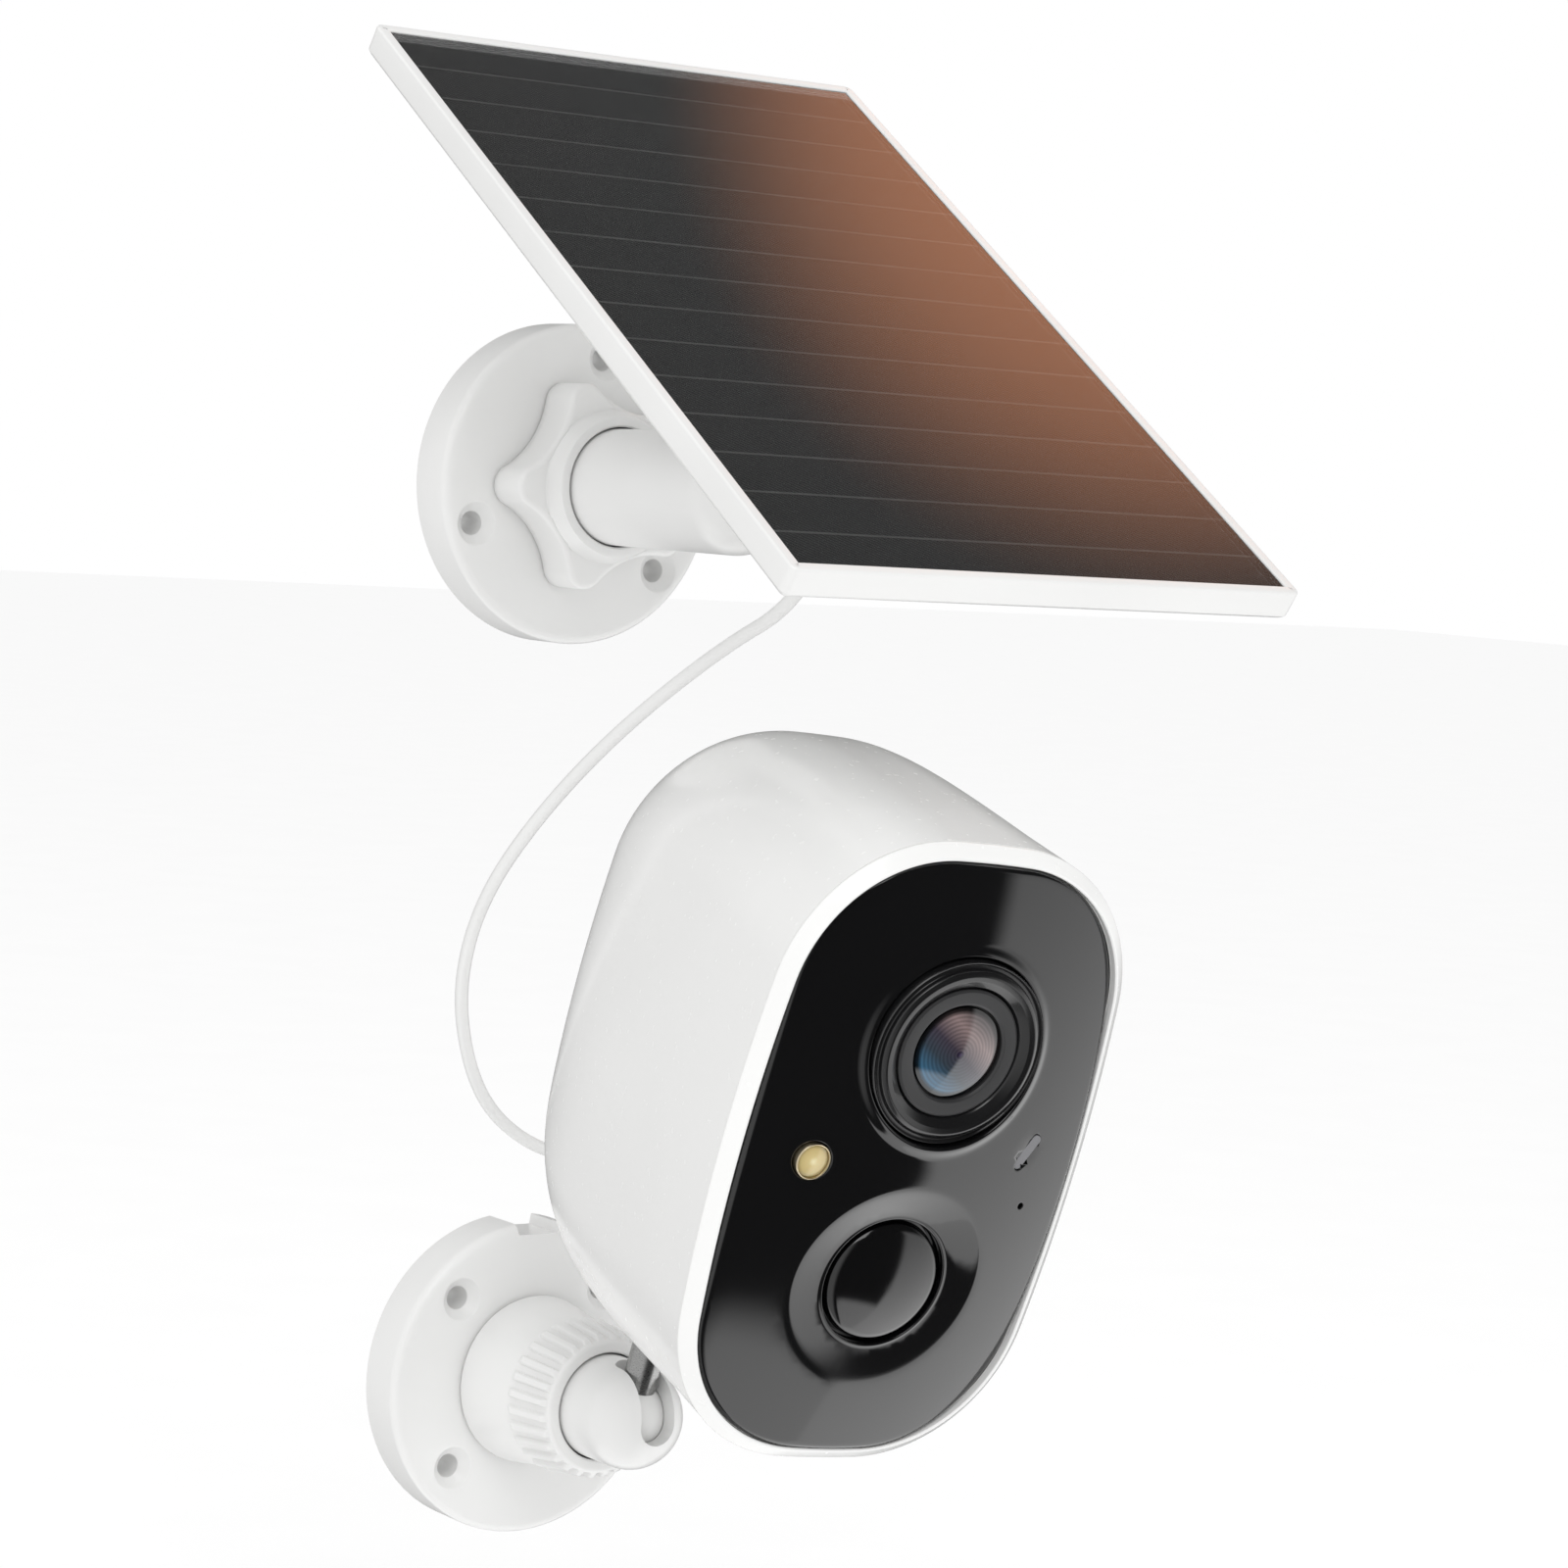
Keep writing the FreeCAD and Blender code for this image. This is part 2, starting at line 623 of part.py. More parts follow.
def body_solid(inset, start):
    """Body loft with its rear-bottom flat, inset by a wall."""
    wires = []
    end = BODY_D - inset
    for f in (0.0, 0.2, 0.4, 0.55, 0.68, 0.79, 0.88, 0.945, 0.985, 1.0):
        y = start + (end - start) * f
        share = (start + (BODY_D - start) * f) / BODY_D
        wires.append(outline_wire(y, *body_section(share, inset)))
    cutter = box(-FAR, FAR, -FAR, FAR, 0, FAR)
    cutter.Placement = FreeCAD.Placement(CUT_NORMAL * (CUT_REACH - inset), FreeCAD.Rotation(Z, CUT_NORMAL))
    return Part.makeLoft(wires, True, False).cut(cutter)


# ---------------------------------------------------------------- camera front pieces
def pill(extra, y0, length):
    """Leaning round-ended bar of the status light."""
    r = PILL_W / 2 + extra
    half = (PILL_L - PILL_W) / 2
    ends = [cyl(r, length, Z * half, Y), cyl(r, length, Z * -half, Y)]
    bar = joined([box(-r, r, 0, length, -half, half)] + ends)
    bar.rotate(O, Y, PILL_LEAN)
    bar.translate(V(PILL_X, y0, PILL_Z))
    return bar


def dish_tool():
    """Cone from the sensor's opening out to a rim that follows the plate's crown."""
    top = crown_y(0, PIR_Z + PIR_DISH_R)
    low = crown_y(0, PIR_Z - PIR_DISH_R)
    side = crown_y(PIR_DISH_R, PIR_Z)
    middle = (top + low) / 2
    grow = 1.3
    rise = (middle - PIR_DEPTH) * grow
    half_h = PIR_HOLE_R + (PIR_DISH_R - PIR_HOLE_R) * grow
    half_w = PIR_HOLE_R + (PIR_DISH_R - PIR_HOLE_R) / (side - PIR_DEPTH) * rise
    mouth = Part.Ellipse(O, half_w, half_h).toShape()
    tilt = math.degrees(math.atan2(low - top, 2 * PIR_DISH_R))
    mouth.Placement = FreeCAD.Placement(V(0, PIR_DEPTH + rise, PIR_Z), FreeCAD.Rotation(X, -90 - tilt))
    root = Part.makeCircle(PIR_HOLE_R, V(0, PIR_DEPTH, PIR_Z), OUT)
    return Part.makeLoft([Part.Wire(root), Part.Wire(mouth)], True, True)


def front_plate():
    """Domed gloss plate with the lens opening, the sensor dish and the small openings."""
    outer = face_prism(-PLATE_SLACK, -DOME_H - 1, PLATE_SEAT).common(dome(0))
    inner = face_prism(-PLATE_SLACK - PLATE_T, -DOME_H - 1, PLATE_SEAT).common(dome(PLATE_T))
    back = PIR_DEPTH + PIR_WALL
    dish = cyl(PIR_DISH_R + PIR_WALL, back + DOME_H, V(0, -DOME_H, PIR_Z), Y).common(outer)
    plate = outer.cut(inner).fuse(dish)
    tools = [dish_tool(), pill(FIT, -FAR / 2, FAR)]
    openings = ((LENS_HOLE_R, 0, LENS_Z), (PIR_HOLE_R, 0, PIR_Z), (LED_R, LED_X, LED_Z), (MIC_R, MIC_X, MIC_Z))
    for r, x, z in openings:
        tools.append(cyl(r, FAR, V(x, -FAR / 2, z), Y))
    return without(plate, tools)


def front_bezel():
    """White frame: sloping band round the plate, flange under it, skirt inside the shell, board bosses."""
    cone = Part.makeLoft([face_wire(BEZEL_FRONT, BEZEL_LIP), face_wire(BEZEL_T, BEZEL_BAND)], True, True)
    band = cone.cut(face_prism(0, -DOME_H, BEZEL_T + 1))
    step = face_ring(BEZEL_STEP, -SKIRT_IN - SKIRT_T, SEAT_Y, BEZEL_T)
    flange = face_ring(-SKIRT_IN, -BEZEL_FLANGE_W, SEAT_Y, FLANGE_BACK)
    skirt = face_ring(-SKIRT_IN, -SKIRT_IN - SKIRT_T, SEAT_Y, SKIRT_L)
    shapes = [band, step, flange, skirt]
    tools = []
    top = BOARD_Y - FIT
    for x, z in corners(BOARD_SCREW_X, BOARD_SCREW_Z):
        shapes.append(cyl(BOARD_BOSS_R, top - SEAT_Y, V(x, SEAT_Y, z), Y))
        tools.append(cyl(SCREW_R, BOARD_SCREW_L, V(x, top - BOARD_SCREW_L, z), Y))
    for x, z in corners(CASE_SCREW_X, CASE_SCREW_Z):
        tools.append(cyl(SCREW_R + GAP, FLANGE_BACK, V(x, SEAT_Y, z), Y))
        tools.append(cyl(CASE_SCREW_HEAD_R + FIT, CASE_SCREW_SINK + FIT, V(x, SEAT_Y, z), Y))
    return without(joined(shapes), tools)


def make_front():
    save("front_plate", front_plate(), CAMERA_FRAME)
    save("front_bezel", front_bezel(), CAMERA_FRAME)
    start = SHELL_START + RUN
    save("shell_gasket", face_ring(-GASKET_IN, FIT - SKIRT_IN, start, start + GASKET_T), CAMERA_FRAME)


def make_lens():
    c = Z * LENS_Z
    f = LENS_FRONT
    crest, inner, outer = LENS_RING_CREST_R, LENS_RING_IN_R, LENS_HOLE_R - GAP
    ring = spun([(inner, f + LENS_CONE_DEPTH), (crest - 1, f + 0.1), (crest, f), (crest + 0.7, f + 0.5),
                 (crest + 1, f + 1.4), (crest + 1.5, f + 1.5), (outer, f + 0.9), (outer, LENS_RING_BACK),
                 (inner, LENS_RING_BACK)], c, Y)
    save("lens_bezel_ring", ring, CAMERA_FRAME)
    ring_y = f + LENS_CONE_DEPTH - 0.6
    save("lens_retaining_ring", tube(inner - FIT, RETAINER_IN_R, RETAINER_T, c + Y * ring_y, Y), CAMERA_FRAME)
    back = ring_y + RETAINER_T
    apex = f + 0.4
    glass = Part.makeSphere(GLASS_DOME_R, c + Y * (apex + GLASS_DOME_R))
    save("front_lens_element", glass.common(cyl(GLASS_R, back - f, c + Y * f, Y)), CAMERA_FRAME)
    start, end = back + FIT, SENSOR_Y - 0.2
    barrel = spun([(BARREL_BORE_R, start), (BARREL_R, start), (BARREL_R, BARREL_FLANGE_Y),
                   (BARREL_FLANGE_R, BARREL_FLANGE_Y), (BARREL_FLANGE_R, end), (BARREL_BORE_R, end)], c, Y)
    save("lens_barrel", barrel, CAMERA_FRAME)
    rear_r = BARREL_BORE_R - FIT
    rear = spun([(0, 2.0), (rear_r, 2.0), (rear_r, 5.0), (0, 4.0)], c, Y)
    save("rear_lens_element", rear, CAMERA_FRAME)
    y, half = SENSOR_Y, SENSOR_BOARD_HALF
    save("image_sensor", box(-5.5, 5.5, y, y + 1.2, LENS_Z - 4.5, LENS_Z + 4.5), CAMERA_FRAME)
    y = y + 1.2 + RUN
    save("sensor_board", box(-half, half, y, y + BOARD_T, LENS_Z - half, LENS_Z + half), CAMERA_FRAME)


def make_sensors():
    """Motion sensor, spotlight, status light and microphone."""
    front, base = PIR_LENS_FRONT, PIR_DEPTH + PIR_WALL + FIT + 1
    c = Z * PIR_Z

    def cap(drop):
        ball = Part.makeSphere(PIR_LENS_DOME_R - drop, c + Y * (front + PIR_LENS_DOME_R))
        return ball.common(cyl(PIR_LENS_R - drop, base - front, c + Y * front, Y))

    flange = tube(PIR_FLANGE_R, PIR_LENS_R - PIR_LENS_T, 1, c + Y * (base - 1), Y)
    save("motion_sensor_lens", joined([cap(0).cut(cap(PIR_LENS_T)), flange]), CAMERA_FRAME)
    can = cyl(PIR_CAN_R, PIR_CAN_L, c + Y * (BOARD_Y - FIT - PIR_CAN_L), Y)
    save("motion_sensor", can, CAMERA_FRAME)
    c = V(LED_X, crown_y(LED_X, LED_Z), LED_Z)
    depth = PLATE_T + LED_PROUD + 0.6
    ring_in = LED_R - LED_RING_T
    save("spotlight_ring", tube(LED_R - FIT, ring_in, depth, c - Y * LED_PROUD, Y), CAMERA_FRAME)
    save("spotlight_lens", cyl(ring_in - FIT, depth - LED_PROUD, c, Y), CAMERA_FRAME)
    y = c.y + depth
    save("spotlight_led", box(LED_X - LED_CHIP, LED_X + LED_CHIP, y, BOARD_Y - FIT, LED_Z - LED_CHIP,
                              LED_Z + LED_CHIP), CAMERA_FRAME)
    y = crown_y(PILL_X, PILL_Z) + FIT
    save("status_light_pipe", pill(0, y, BOARD_Y - FIT - y), CAMERA_FRAME)
    y = crown_y(MIC_X, MIC_Z) + PLATE_T + MIC_GAP
    save("microphone", cyl(MIC_BODY_R, MIC_BODY_T, V(MIC_X, y, MIC_Z), Y), CAMERA_FRAME)


# ---------------------------------------------------------------- camera body pieces
def speaker_holes():
    spots = [(0.0, SPEAKER_Y)]
    for i in range(6):
        a = math.radians(60 * i)
        spots.append((SPEAKER_HOLE_PITCH * math.cos(a), SPEAKER_Y + SPEAKER_HOLE_PITCH * math.sin(a)))
    return spots


def rear_shell():
    """Hollow white body with the mounting boss, port recess, button hole and speaker holes."""
    outer = body_solid(0, SHELL_START)
    shell = outer.cut(body_solid(BODY_WALL, SHELL_START - 1))
    pole = V(0, BALL_BEHIND, INSERT_Z)
    floor = -PORT_DEPTH - PORT_WALL
    half_w, half_h = PORT_W / 2, PORT_H / 2
    ledge_w, ledge_h = half_w + PORT_WALL, half_h + PORT_WALL
    adds = [cyl(BOSS_R, FAR, pole + Z * (INSERT_L + FIT + 1), Z * -1),
            placed(box(-ledge_w, ledge_w, -ledge_h, ledge_h, floor, 0), PORT_FRAME),
            placed(cyl(BUTTON_R + PORT_WALL, -floor, V(BUTTON_X, 0, floor)), PORT_FRAME)]
    tools = [cyl(LOCK_R + LOCK_POCKET, FAR, pole, Z * -1), cyl(INSERT_R + RUN, INSERT_L, pole)]
    boss_y = FLANGE_BACK + FIT
    for x, z in corners(CASE_SCREW_X, CASE_SCREW_Z):
        adds.append(cyl(CASE_BOSS_R, CASE_BOSS_L, V(x, boss_y, z), Y))
        x0, x1 = sorted((x, math.copysign(FAR, x)))
        adds.append(box(x0, x1, WEB_Y, boss_y + CASE_BOSS_L, z - WEB_T / 2, z + WEB_T / 2))
        tools.append(cyl(SCREW_R + RUN, CASE_SCREW_L + 1, V(x, boss_y, z), Y))
    for x, z in corners(holder_half_w() + FIT, HOLDER_RIB_Z):
        x0, x1 = sorted((x, math.copysign(FAR, x)))
        adds.append(box(x0, x1, CELL_Y - HOLDER_RIB_L / 2, CELL_Y + HOLDER_RIB_L / 2, z - HOLDER_RIB_T / 2,
                        z + HOLDER_RIB_T / 2))
    tools.append(placed(box(-half_w, half_w, -half_h, half_h, -PORT_DEPTH, FAR), PORT_FRAME))
    socket_w, socket_h = SOCKET_W / 2 + 2 * FIT, SOCKET_H / 2 + 2 * FIT
    tools.append(placed(box(-socket_w, socket_w, -socket_h, socket_h, floor - 1, 0), PORT_FRAME))
    tools.append(placed(cyl(BUTTON_R + 2 * FIT, FAR, V(BUTTON_X, 0, floor - 1)), PORT_FRAME))
    for x, y in speaker_holes():
        tools.append(cyl(SPEAKER_HOLE_R, SPEAKER_R, V(x, y, -FACE_HALF_H), Z * -1))
    return without(joined([shell] + [a.common(outer) for a in adds]), tools)


def holder_half_w():
    return 2 * CELL_R + CELL_SPACE + HOLDER_WALL


def battery_holder():
    """Tray that grips the two cells from behind."""
    w, half_l = holder_half_w(), CELL_L / 2 + CELL_SPACE
    end = half_l + HOLDER_WALL
    tray = box(-w, w, CELL_Y - HOLDER_GRIP, CELL_Y + CELL_R - GAP, -end, end)
    inside = w - HOLDER_WALL
    tools = [box(-inside, inside, CELL_Y - HOLDER_GRIP - 1, CELL_Y, -half_l, half_l)]
    for s in (1, -1):
        tools.append(cyl(CELL_R + 2 * FIT, 2 * half_l, V(s * (CELL_R + CELL_SPACE), CELL_Y, -half_l)))
    return without(tray, tools)


def make_electronics():
    board = face_prism(-BOARD_IN, BOARD_Y, BOARD_Y + BOARD_T)
    tools = [cyl(BARREL_FLANGE_R + GAP, FAR, Z * LENS_Z, Y)]
    screws, case_screws = [], []
    for x, z in corners(BOARD_SCREW_X, BOARD_SCREW_Z):
        tools.append(cyl(SCREW_R + GAP, FAR, V(x, 0, z), Y))
        c = V(x, BOARD_Y + BOARD_T, z)
        shank = cyl(SCREW_R - RUN, BOARD_SCREW_L, c, OUT)
        screws.append(joined([cyl(BOARD_SCREW_HEAD_R, SCREW_HEAD_T, c, Y), shank]))
    for x, z in corners(CASE_SCREW_X, CASE_SCREW_Z):
        c = V(x, SEAT_Y + CASE_SCREW_SINK, z)
        head = cyl(CASE_SCREW_HEAD_R, CASE_SCREW_SINK, c, OUT)
        case_screws.append(joined([head, cyl(SCREW_R, CASE_SCREW_L, c, Y)]))
    save("main_board", without(board, tools), CAMERA_FRAME)
    save("board_screws", Part.makeCompound(screws), CAMERA_FRAME)
    save("case_screws", Part.makeCompound(case_screws), CAMERA_FRAME)
    cells = [cyl(CELL_R, CELL_L, V(s * (CELL_R + CELL_SPACE), CELL_Y, -CELL_L / 2)) for s in (1, -1)]
    save("battery_cells", Part.makeCompound(cells), CAMERA_FRAME)
    save("battery_holder", battery_holder(), CAMERA_FRAME)
    speaker = cyl(SPEAKER_R, SPEAKER_T, V(0, SPEAKER_Y, FIT - FACE_HALF_H))
    save("speaker", speaker, CAMERA_FRAME)
    top, w = FACE_HALF_H + GAP, ANTENNA_W / 2
    antenna = box(-w, w, ANTENNA_Y, ANTENNA_Y + ANTENNA_L, top - ANTENNA_T, top)
    save("antenna", antenna, CAMERA_FRAME)
    save("camera_stem_insert", placed(insert(INSERT_Z), moved(Y * BALL_BEHIND)), CAMERA_FRAME)


def make_port():
    """Charging socket, power button, its switch and the small board that carries them."""
    frame = CAMERA_FRAME * PORT_FRAME
    w, h, t = SOCKET_W / 2, SOCKET_H / 2, SOCKET_T
    end = -PORT_DEPTH - SOCKET_L
    socket = box(-w, w, -h, h, end, -PORT_DEPTH).cut(box(t - w, w - t, t - h, h - t, end + t, 0))
    save("charging_port", socket, frame)
    c = X * BUTTON_X
    button = joined([cyl(BUTTON_R, BUTTON_CAP_T, c + Z * (BUTTON_PROUD - BUTTON_CAP_T)),
                     cyl(BUTTON_STEM_R, BUTTON_STEM_END, c - Z * BUTTON_STEM_END)])
    save("power_button", button, frame)
    top = -BUTTON_STEM_END - BUTTON_TRAVEL - FIT
    s = SWITCH_HALF
    save("button_switch", box(BUTTON_X - s, BUTTON_X + s, -s, s, end, top), frame)
    top = end - RUN
    save("charging_board", box(-w - 4, BUTTON_X + s + 2, -s - 3, s + 3, top - BOARD_T, top), frame)


# ---------------------------------------------------------------- solar panel
def panel_frame():
    """Shallow tray that holds the laminate and its cover."""
    cw, ch = CELLS_W / 2 + FIT, CELLS_H / 2 + FIT
    hw, hh = cw + FRAME_RIM, ch + FRAME_RIM
    z0 = PANEL_STEM
    tray = box(-hw, hw, -hh, hh, z0, z0 + FRAME_T)
    tray = tray.makeFillet(FRAME_CORNER_R, [e for e in tray.Edges if upright(e)])
    tray = tray.makeChamfer(FRAME_BEVEL, at_height(tray, z0))
    return tray.cut(box(-cw, cw, -ch, ch, z0 + FRAME_FLOOR, FAR))


def box_screw_places():
    return [(x, y) for x in (BOX_SCREW_IN - BOX_HALF_W, BOX_HALF_W - BOX_SCREW_IN)
            for y in (BOX_BOTTOM + BOX_SCREW_IN, BOX_TOP - BOX_SCREW_IN)]


def back_box():
    """Hollow box on the panel's back with the stem's hub, screw pads and the gland's hole."""
    z0, z1, w = BOX_BACK, PANEL_STEM, BOX_WALL
    outer = box(-BOX_HALF_W, BOX_HALF_W, BOX_BOTTOM, BOX_TOP, z0, z1)
    outer = outer.makeFillet(BOX_CORNER_R, [e for e in outer.Edges if upright(e)])
    outer = outer.makeFillet(BOX_EDGE_R, at_height(outer, z0))
    inner = box(w - BOX_HALF_W, BOX_HALF_W - w, BOX_BOTTOM + w, BOX_TOP - w, z0 + w, z1)
    inner = inner.makeFillet(BOX_CORNER_R - w, [e for e in inner.Edges if upright(e)])
    pads = [cyl(BOX_PAD_R, BOX_T, V(x, y, z0)).common(outer) for x, y in box_screw_places()]
    body = joined([outer.cut(inner), cyl(HUB_R, BOX_T + HUB_OUT, Z * HUB_FACE)] + pads)
    gland_hole = cyl(GLAND_R + FIT, 2 * w, V(GLAND_X, GLAND_Y, z0 - w))
    tools = [cyl(INSERT_R + RUN, INSERT_L, Z * HUB_FACE), gland_hole]
    for x, y in box_screw_places():
        tools.append(cyl(BOARD_SCREW_HEAD_R + 2 * FIT, SCREW_HEAD_T + 2 * FIT, V(x, y, z0)))
        tools.append(cyl(SCREW_R + RUN, BOX_T, V(x, y, z0)))
    return without(body, tools)


def make_panel():
    save("panel_frame", panel_frame(), PANEL_FRAME)
    cw, ch = CELLS_W / 2, CELLS_H / 2
    z = PANEL_STEM + FRAME_FLOOR + FIT
    save("panel_cell_laminate", box(-cw, cw, -ch, ch, z, z + LAMINATE_T), PANEL_FRAME)
    z = z + LAMINATE_T + RUN
    save("panel_cover_glass", box(-cw, cw, -ch, ch, z, z + COVER_T), PANEL_FRAME)
    save("panel_back_box", back_box(), PANEL_FRAME)
    screws = []
    for x, y in box_screw_places():
        c = V(x, y, BOX_BACK + FIT)
        screws.append(joined([cyl(BOARD_SCREW_HEAD_R, SCREW_HEAD_T, c), cyl(SCREW_R, BOX_SCREW_L, c)]))
    save("panel_box_screws", Part.makeCompound(screws), PANEL_FRAME)
    save("panel_stem_insert", insert(HUB_FACE), PANEL_FRAME)
    z, half = BOX_BACK + BOX_WALL + 2 * FIT, DIODE_HALF
    save("panel_diode_board", box(-half, half, DIODE_LOW, DIODE_HIGH, z, z + BOARD_T), PANEL_FRAME)
    c = V(GLAND_X, GLAND_Y, BOX_BACK - FIT)
    tip = V(GLAND_X, GLAND_Y, BOX_BACK - GLAND_COLLAR_T)
    gland = joined([cyl(GLAND_R, BOX_WALL, c), cyl(GLAND_COLLAR_R, GLAND_COLLAR_T, c, Z * -1),
                    Part.makeCone(GLAND_ROOT_R, GLAND_TIP_R, GLAND_L - GLAND_COLLAR_T, tip, Z * -1)])
    save("cable_gland", gland, PANEL_FRAME)


# ---------------------------------------------------------------- cable
def make_cable():
    """Tube of straight runs joined by tangent arcs, from the gland's tip to the boot's."""
    pts = [V(*p) for p in CABLE_ROUTE]
    runs = [(b - a).Length for a, b in zip(pts, pts[1:])]
    edges, here, length = [], pts[0], 0.0
    for i in range(1, len(pts) - 1):
        into = (pts[i] - pts[i - 1]).normalize()
        onward = (pts[i + 1] - pts[i]).normalize()
        half = into.getAngle(onward) / 2
        reach = 0.45 * min(runs[i - 1], runs[i])
        radius = reach / math.tan(half)
        a, b = pts[i] - into * reach, pts[i] + onward * reach
        inward = ((a + b) * 0.5 - pts[i]).normalize()
        middle = pts[i] + inward * (radius / math.cos(half) - radius)
        edges.append(Part.LineSegment(here, a).toShape())
        edges.append(Part.Arc(a, middle, b).toShape())
        turn = math.degrees(2 * half)
        print("cable bend %d: run %.1f, radius %.1f, turn %.0f" % (i, runs[i - 1], radius, turn))
        length += (a - here).Length + radius * 2 * half
        here = b
    edges.append(Part.LineSegment(here, pts[-1]).toShape())
    length += (pts[-1] - here).Length
    section = Part.Wire(Part.makeCircle(CABLE_R, pts[0], (pts[1] - pts[0]).normalize()))
    cable = Part.Wire(edges).makePipeShell([section], True, False)
    print("cable length %.1f, volume over section times length %.4f"
          % (length, cable.Volume / (math.pi * CABLE_R ** 2 * length)))
    save("solar_cable", cable)


def make_plug():
    """Moulded boot that fills the port's recess, and the plug's metal shell."""
    frame = CAMERA_FRAME * PORT_FRAME
    half_w, half_h = PORT_W / 2 - GAP, PORT_H / 2 - GAP
    boot = joined([box(-half_w, half_w, -half_h, half_h, FIT - PORT_DEPTH, BOOT_BLOCK),
                   Part.makeCone(BOOT_ROOT_R, BOOT_TIP_R, BOOT_OUT - BOOT_BLOCK, Z * BOOT_BLOCK)])
    save("plug_boot", boot, frame)
    w, h = SOCKET_W / 2 - SOCKET_T - 2 * FIT, SOCKET_H / 2 - SOCKET_T - 2 * FIT
    save("plug_shell", box(-w, w, -h, h, -PORT_DEPTH - PLUG_L, FIT - PORT_DEPTH), frame)
    gland = PANEL_FRAME.multVec(V(GLAND_X, GLAND_Y, BOX_BACK - GLAND_L))
    print("cable ends: gland", gland, "boot", frame.multVec(Z * BOOT_OUT))


make_camera_bracket()
make_panel_bracket()
make_front()
make_lens()
make_sensors()
save("rear_shell", rear_shell(), CAMERA_FRAME)
make_electronics()
make_port()
make_panel()
make_plug()
make_cable()
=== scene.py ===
import json
import math

import bpy
import numpy as np
from mathutils import Matrix, Vector
from mathutils.geometry import delaunay_2d_cdt


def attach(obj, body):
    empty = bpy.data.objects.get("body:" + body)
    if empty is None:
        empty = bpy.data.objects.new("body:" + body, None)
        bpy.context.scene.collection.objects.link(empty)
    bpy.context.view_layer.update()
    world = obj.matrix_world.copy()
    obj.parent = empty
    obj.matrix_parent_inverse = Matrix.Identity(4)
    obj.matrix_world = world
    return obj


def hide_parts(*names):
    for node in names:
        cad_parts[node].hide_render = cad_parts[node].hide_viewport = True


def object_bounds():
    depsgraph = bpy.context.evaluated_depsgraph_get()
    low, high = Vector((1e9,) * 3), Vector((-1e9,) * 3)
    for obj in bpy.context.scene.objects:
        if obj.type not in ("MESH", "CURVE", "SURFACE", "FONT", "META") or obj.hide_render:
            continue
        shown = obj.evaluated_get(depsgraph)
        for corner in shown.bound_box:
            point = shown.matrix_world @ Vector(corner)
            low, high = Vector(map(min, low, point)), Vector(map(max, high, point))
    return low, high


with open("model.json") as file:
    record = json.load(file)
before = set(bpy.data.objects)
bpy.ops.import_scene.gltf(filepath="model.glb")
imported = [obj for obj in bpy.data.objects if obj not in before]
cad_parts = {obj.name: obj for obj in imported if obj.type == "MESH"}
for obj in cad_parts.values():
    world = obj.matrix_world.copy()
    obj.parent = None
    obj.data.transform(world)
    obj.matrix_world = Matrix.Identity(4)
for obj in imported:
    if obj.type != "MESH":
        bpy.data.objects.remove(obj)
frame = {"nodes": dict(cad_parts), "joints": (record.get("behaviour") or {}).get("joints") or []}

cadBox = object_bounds()
mm = 0.001
joints = {j["name"]: j for j in frame["joints"]}


# places taken from the frame's own joints: each part frame is an origin and three directions
def direction(name):
    # a joint axis as a unit direction
    v = np.array(joints[name]["axis"], float)
    return v / np.linalg.norm(v)


def partFrame(origin, x, y, z):
    # an origin and three directions
    return {"origin": np.array(origin, float), "axes": np.array([x, y, z], float)}


def toWorld(place, points):
    # local millimetres to metres in the object's frame
    return place["origin"] + (np.asarray(points, float) * mm) @ place["axes"]


ballSetting = {"behindPlate": 56.0, "belowMiddle": 73.8}
cameraBall = np.array(joints["camera_tilt"]["pos_m"], float)
panelBall = np.array(joints["panel_tilt"]["pos_m"], float)
camZ = direction("camera_pan")
camY = direction("plug_pull")
camY = camY - camZ * (camY @ camZ)
camY = camY / np.linalg.norm(camY)
camX = np.cross(camY, camZ)
camOrigin = cameraBall - camY * ballSetting["behindPlate"] * mm + camZ * ballSetting["belowMiddle"] * mm
cameraFrame = partFrame(camOrigin, camX, camY, camZ)
panZ = direction("panel_spin")
panX = direction("panel_tilt")
panelFrame = partFrame(panelBall, panX, np.cross(panZ, panX), panZ)
upperWall = partFrame(joints["panel_knob_turn"]["pos_m"], (1, 0, 0), (0, 1, 0), (0, 0, 1))
lowerWall = partFrame((0, 0, 0), (1, 0, 0), (0, 1, 0), (0, 0, 1))
stemZ = camZ
stemX = direction("camera_tilt")
stemFrame = partFrame(cameraBall, stemX, np.cross(stemZ, stemX), stemZ)
plugOut = direction("plug_pull")
portFrame = partFrame(toWorld(cameraFrame, (0.0, 69.0, -26.1)), camX, np.cross(plugOut, camX), plugOut)

# camera and cable
viewpoint = {"place": (-0.4024, -0.6249, 0.1598), "back": (-0.58888, -0.80519, 0.06993), "roll": 3.56,
             "lens": 96.1}


def addCamera():
    # right and up are level directions round the view axis, then rolled
    back = Vector(viewpoint["back"]).normalized()
    right = Vector((0, 0, 1)).cross(back).normalized()
    up = back.cross(right)
    turn = math.radians(viewpoint["roll"])
    right2 = right * math.cos(turn) + up * math.sin(turn)
    up2 = up * math.cos(turn) - right * math.sin(turn)
    camera = bpy.data.cameras.new("viewCamera")
    camera.lens = viewpoint["lens"]
    camera.sensor_width = 36.0
    obj = bpy.data.objects.new("viewCamera", camera)
    bpy.context.scene.collection.objects.link(obj)
    m = Matrix((right2, up2, back)).transposed().to_4x4()
    m.translation = Vector(viewpoint["place"])
    obj.matrix_world = m
    bpy.context.scene.camera = obj


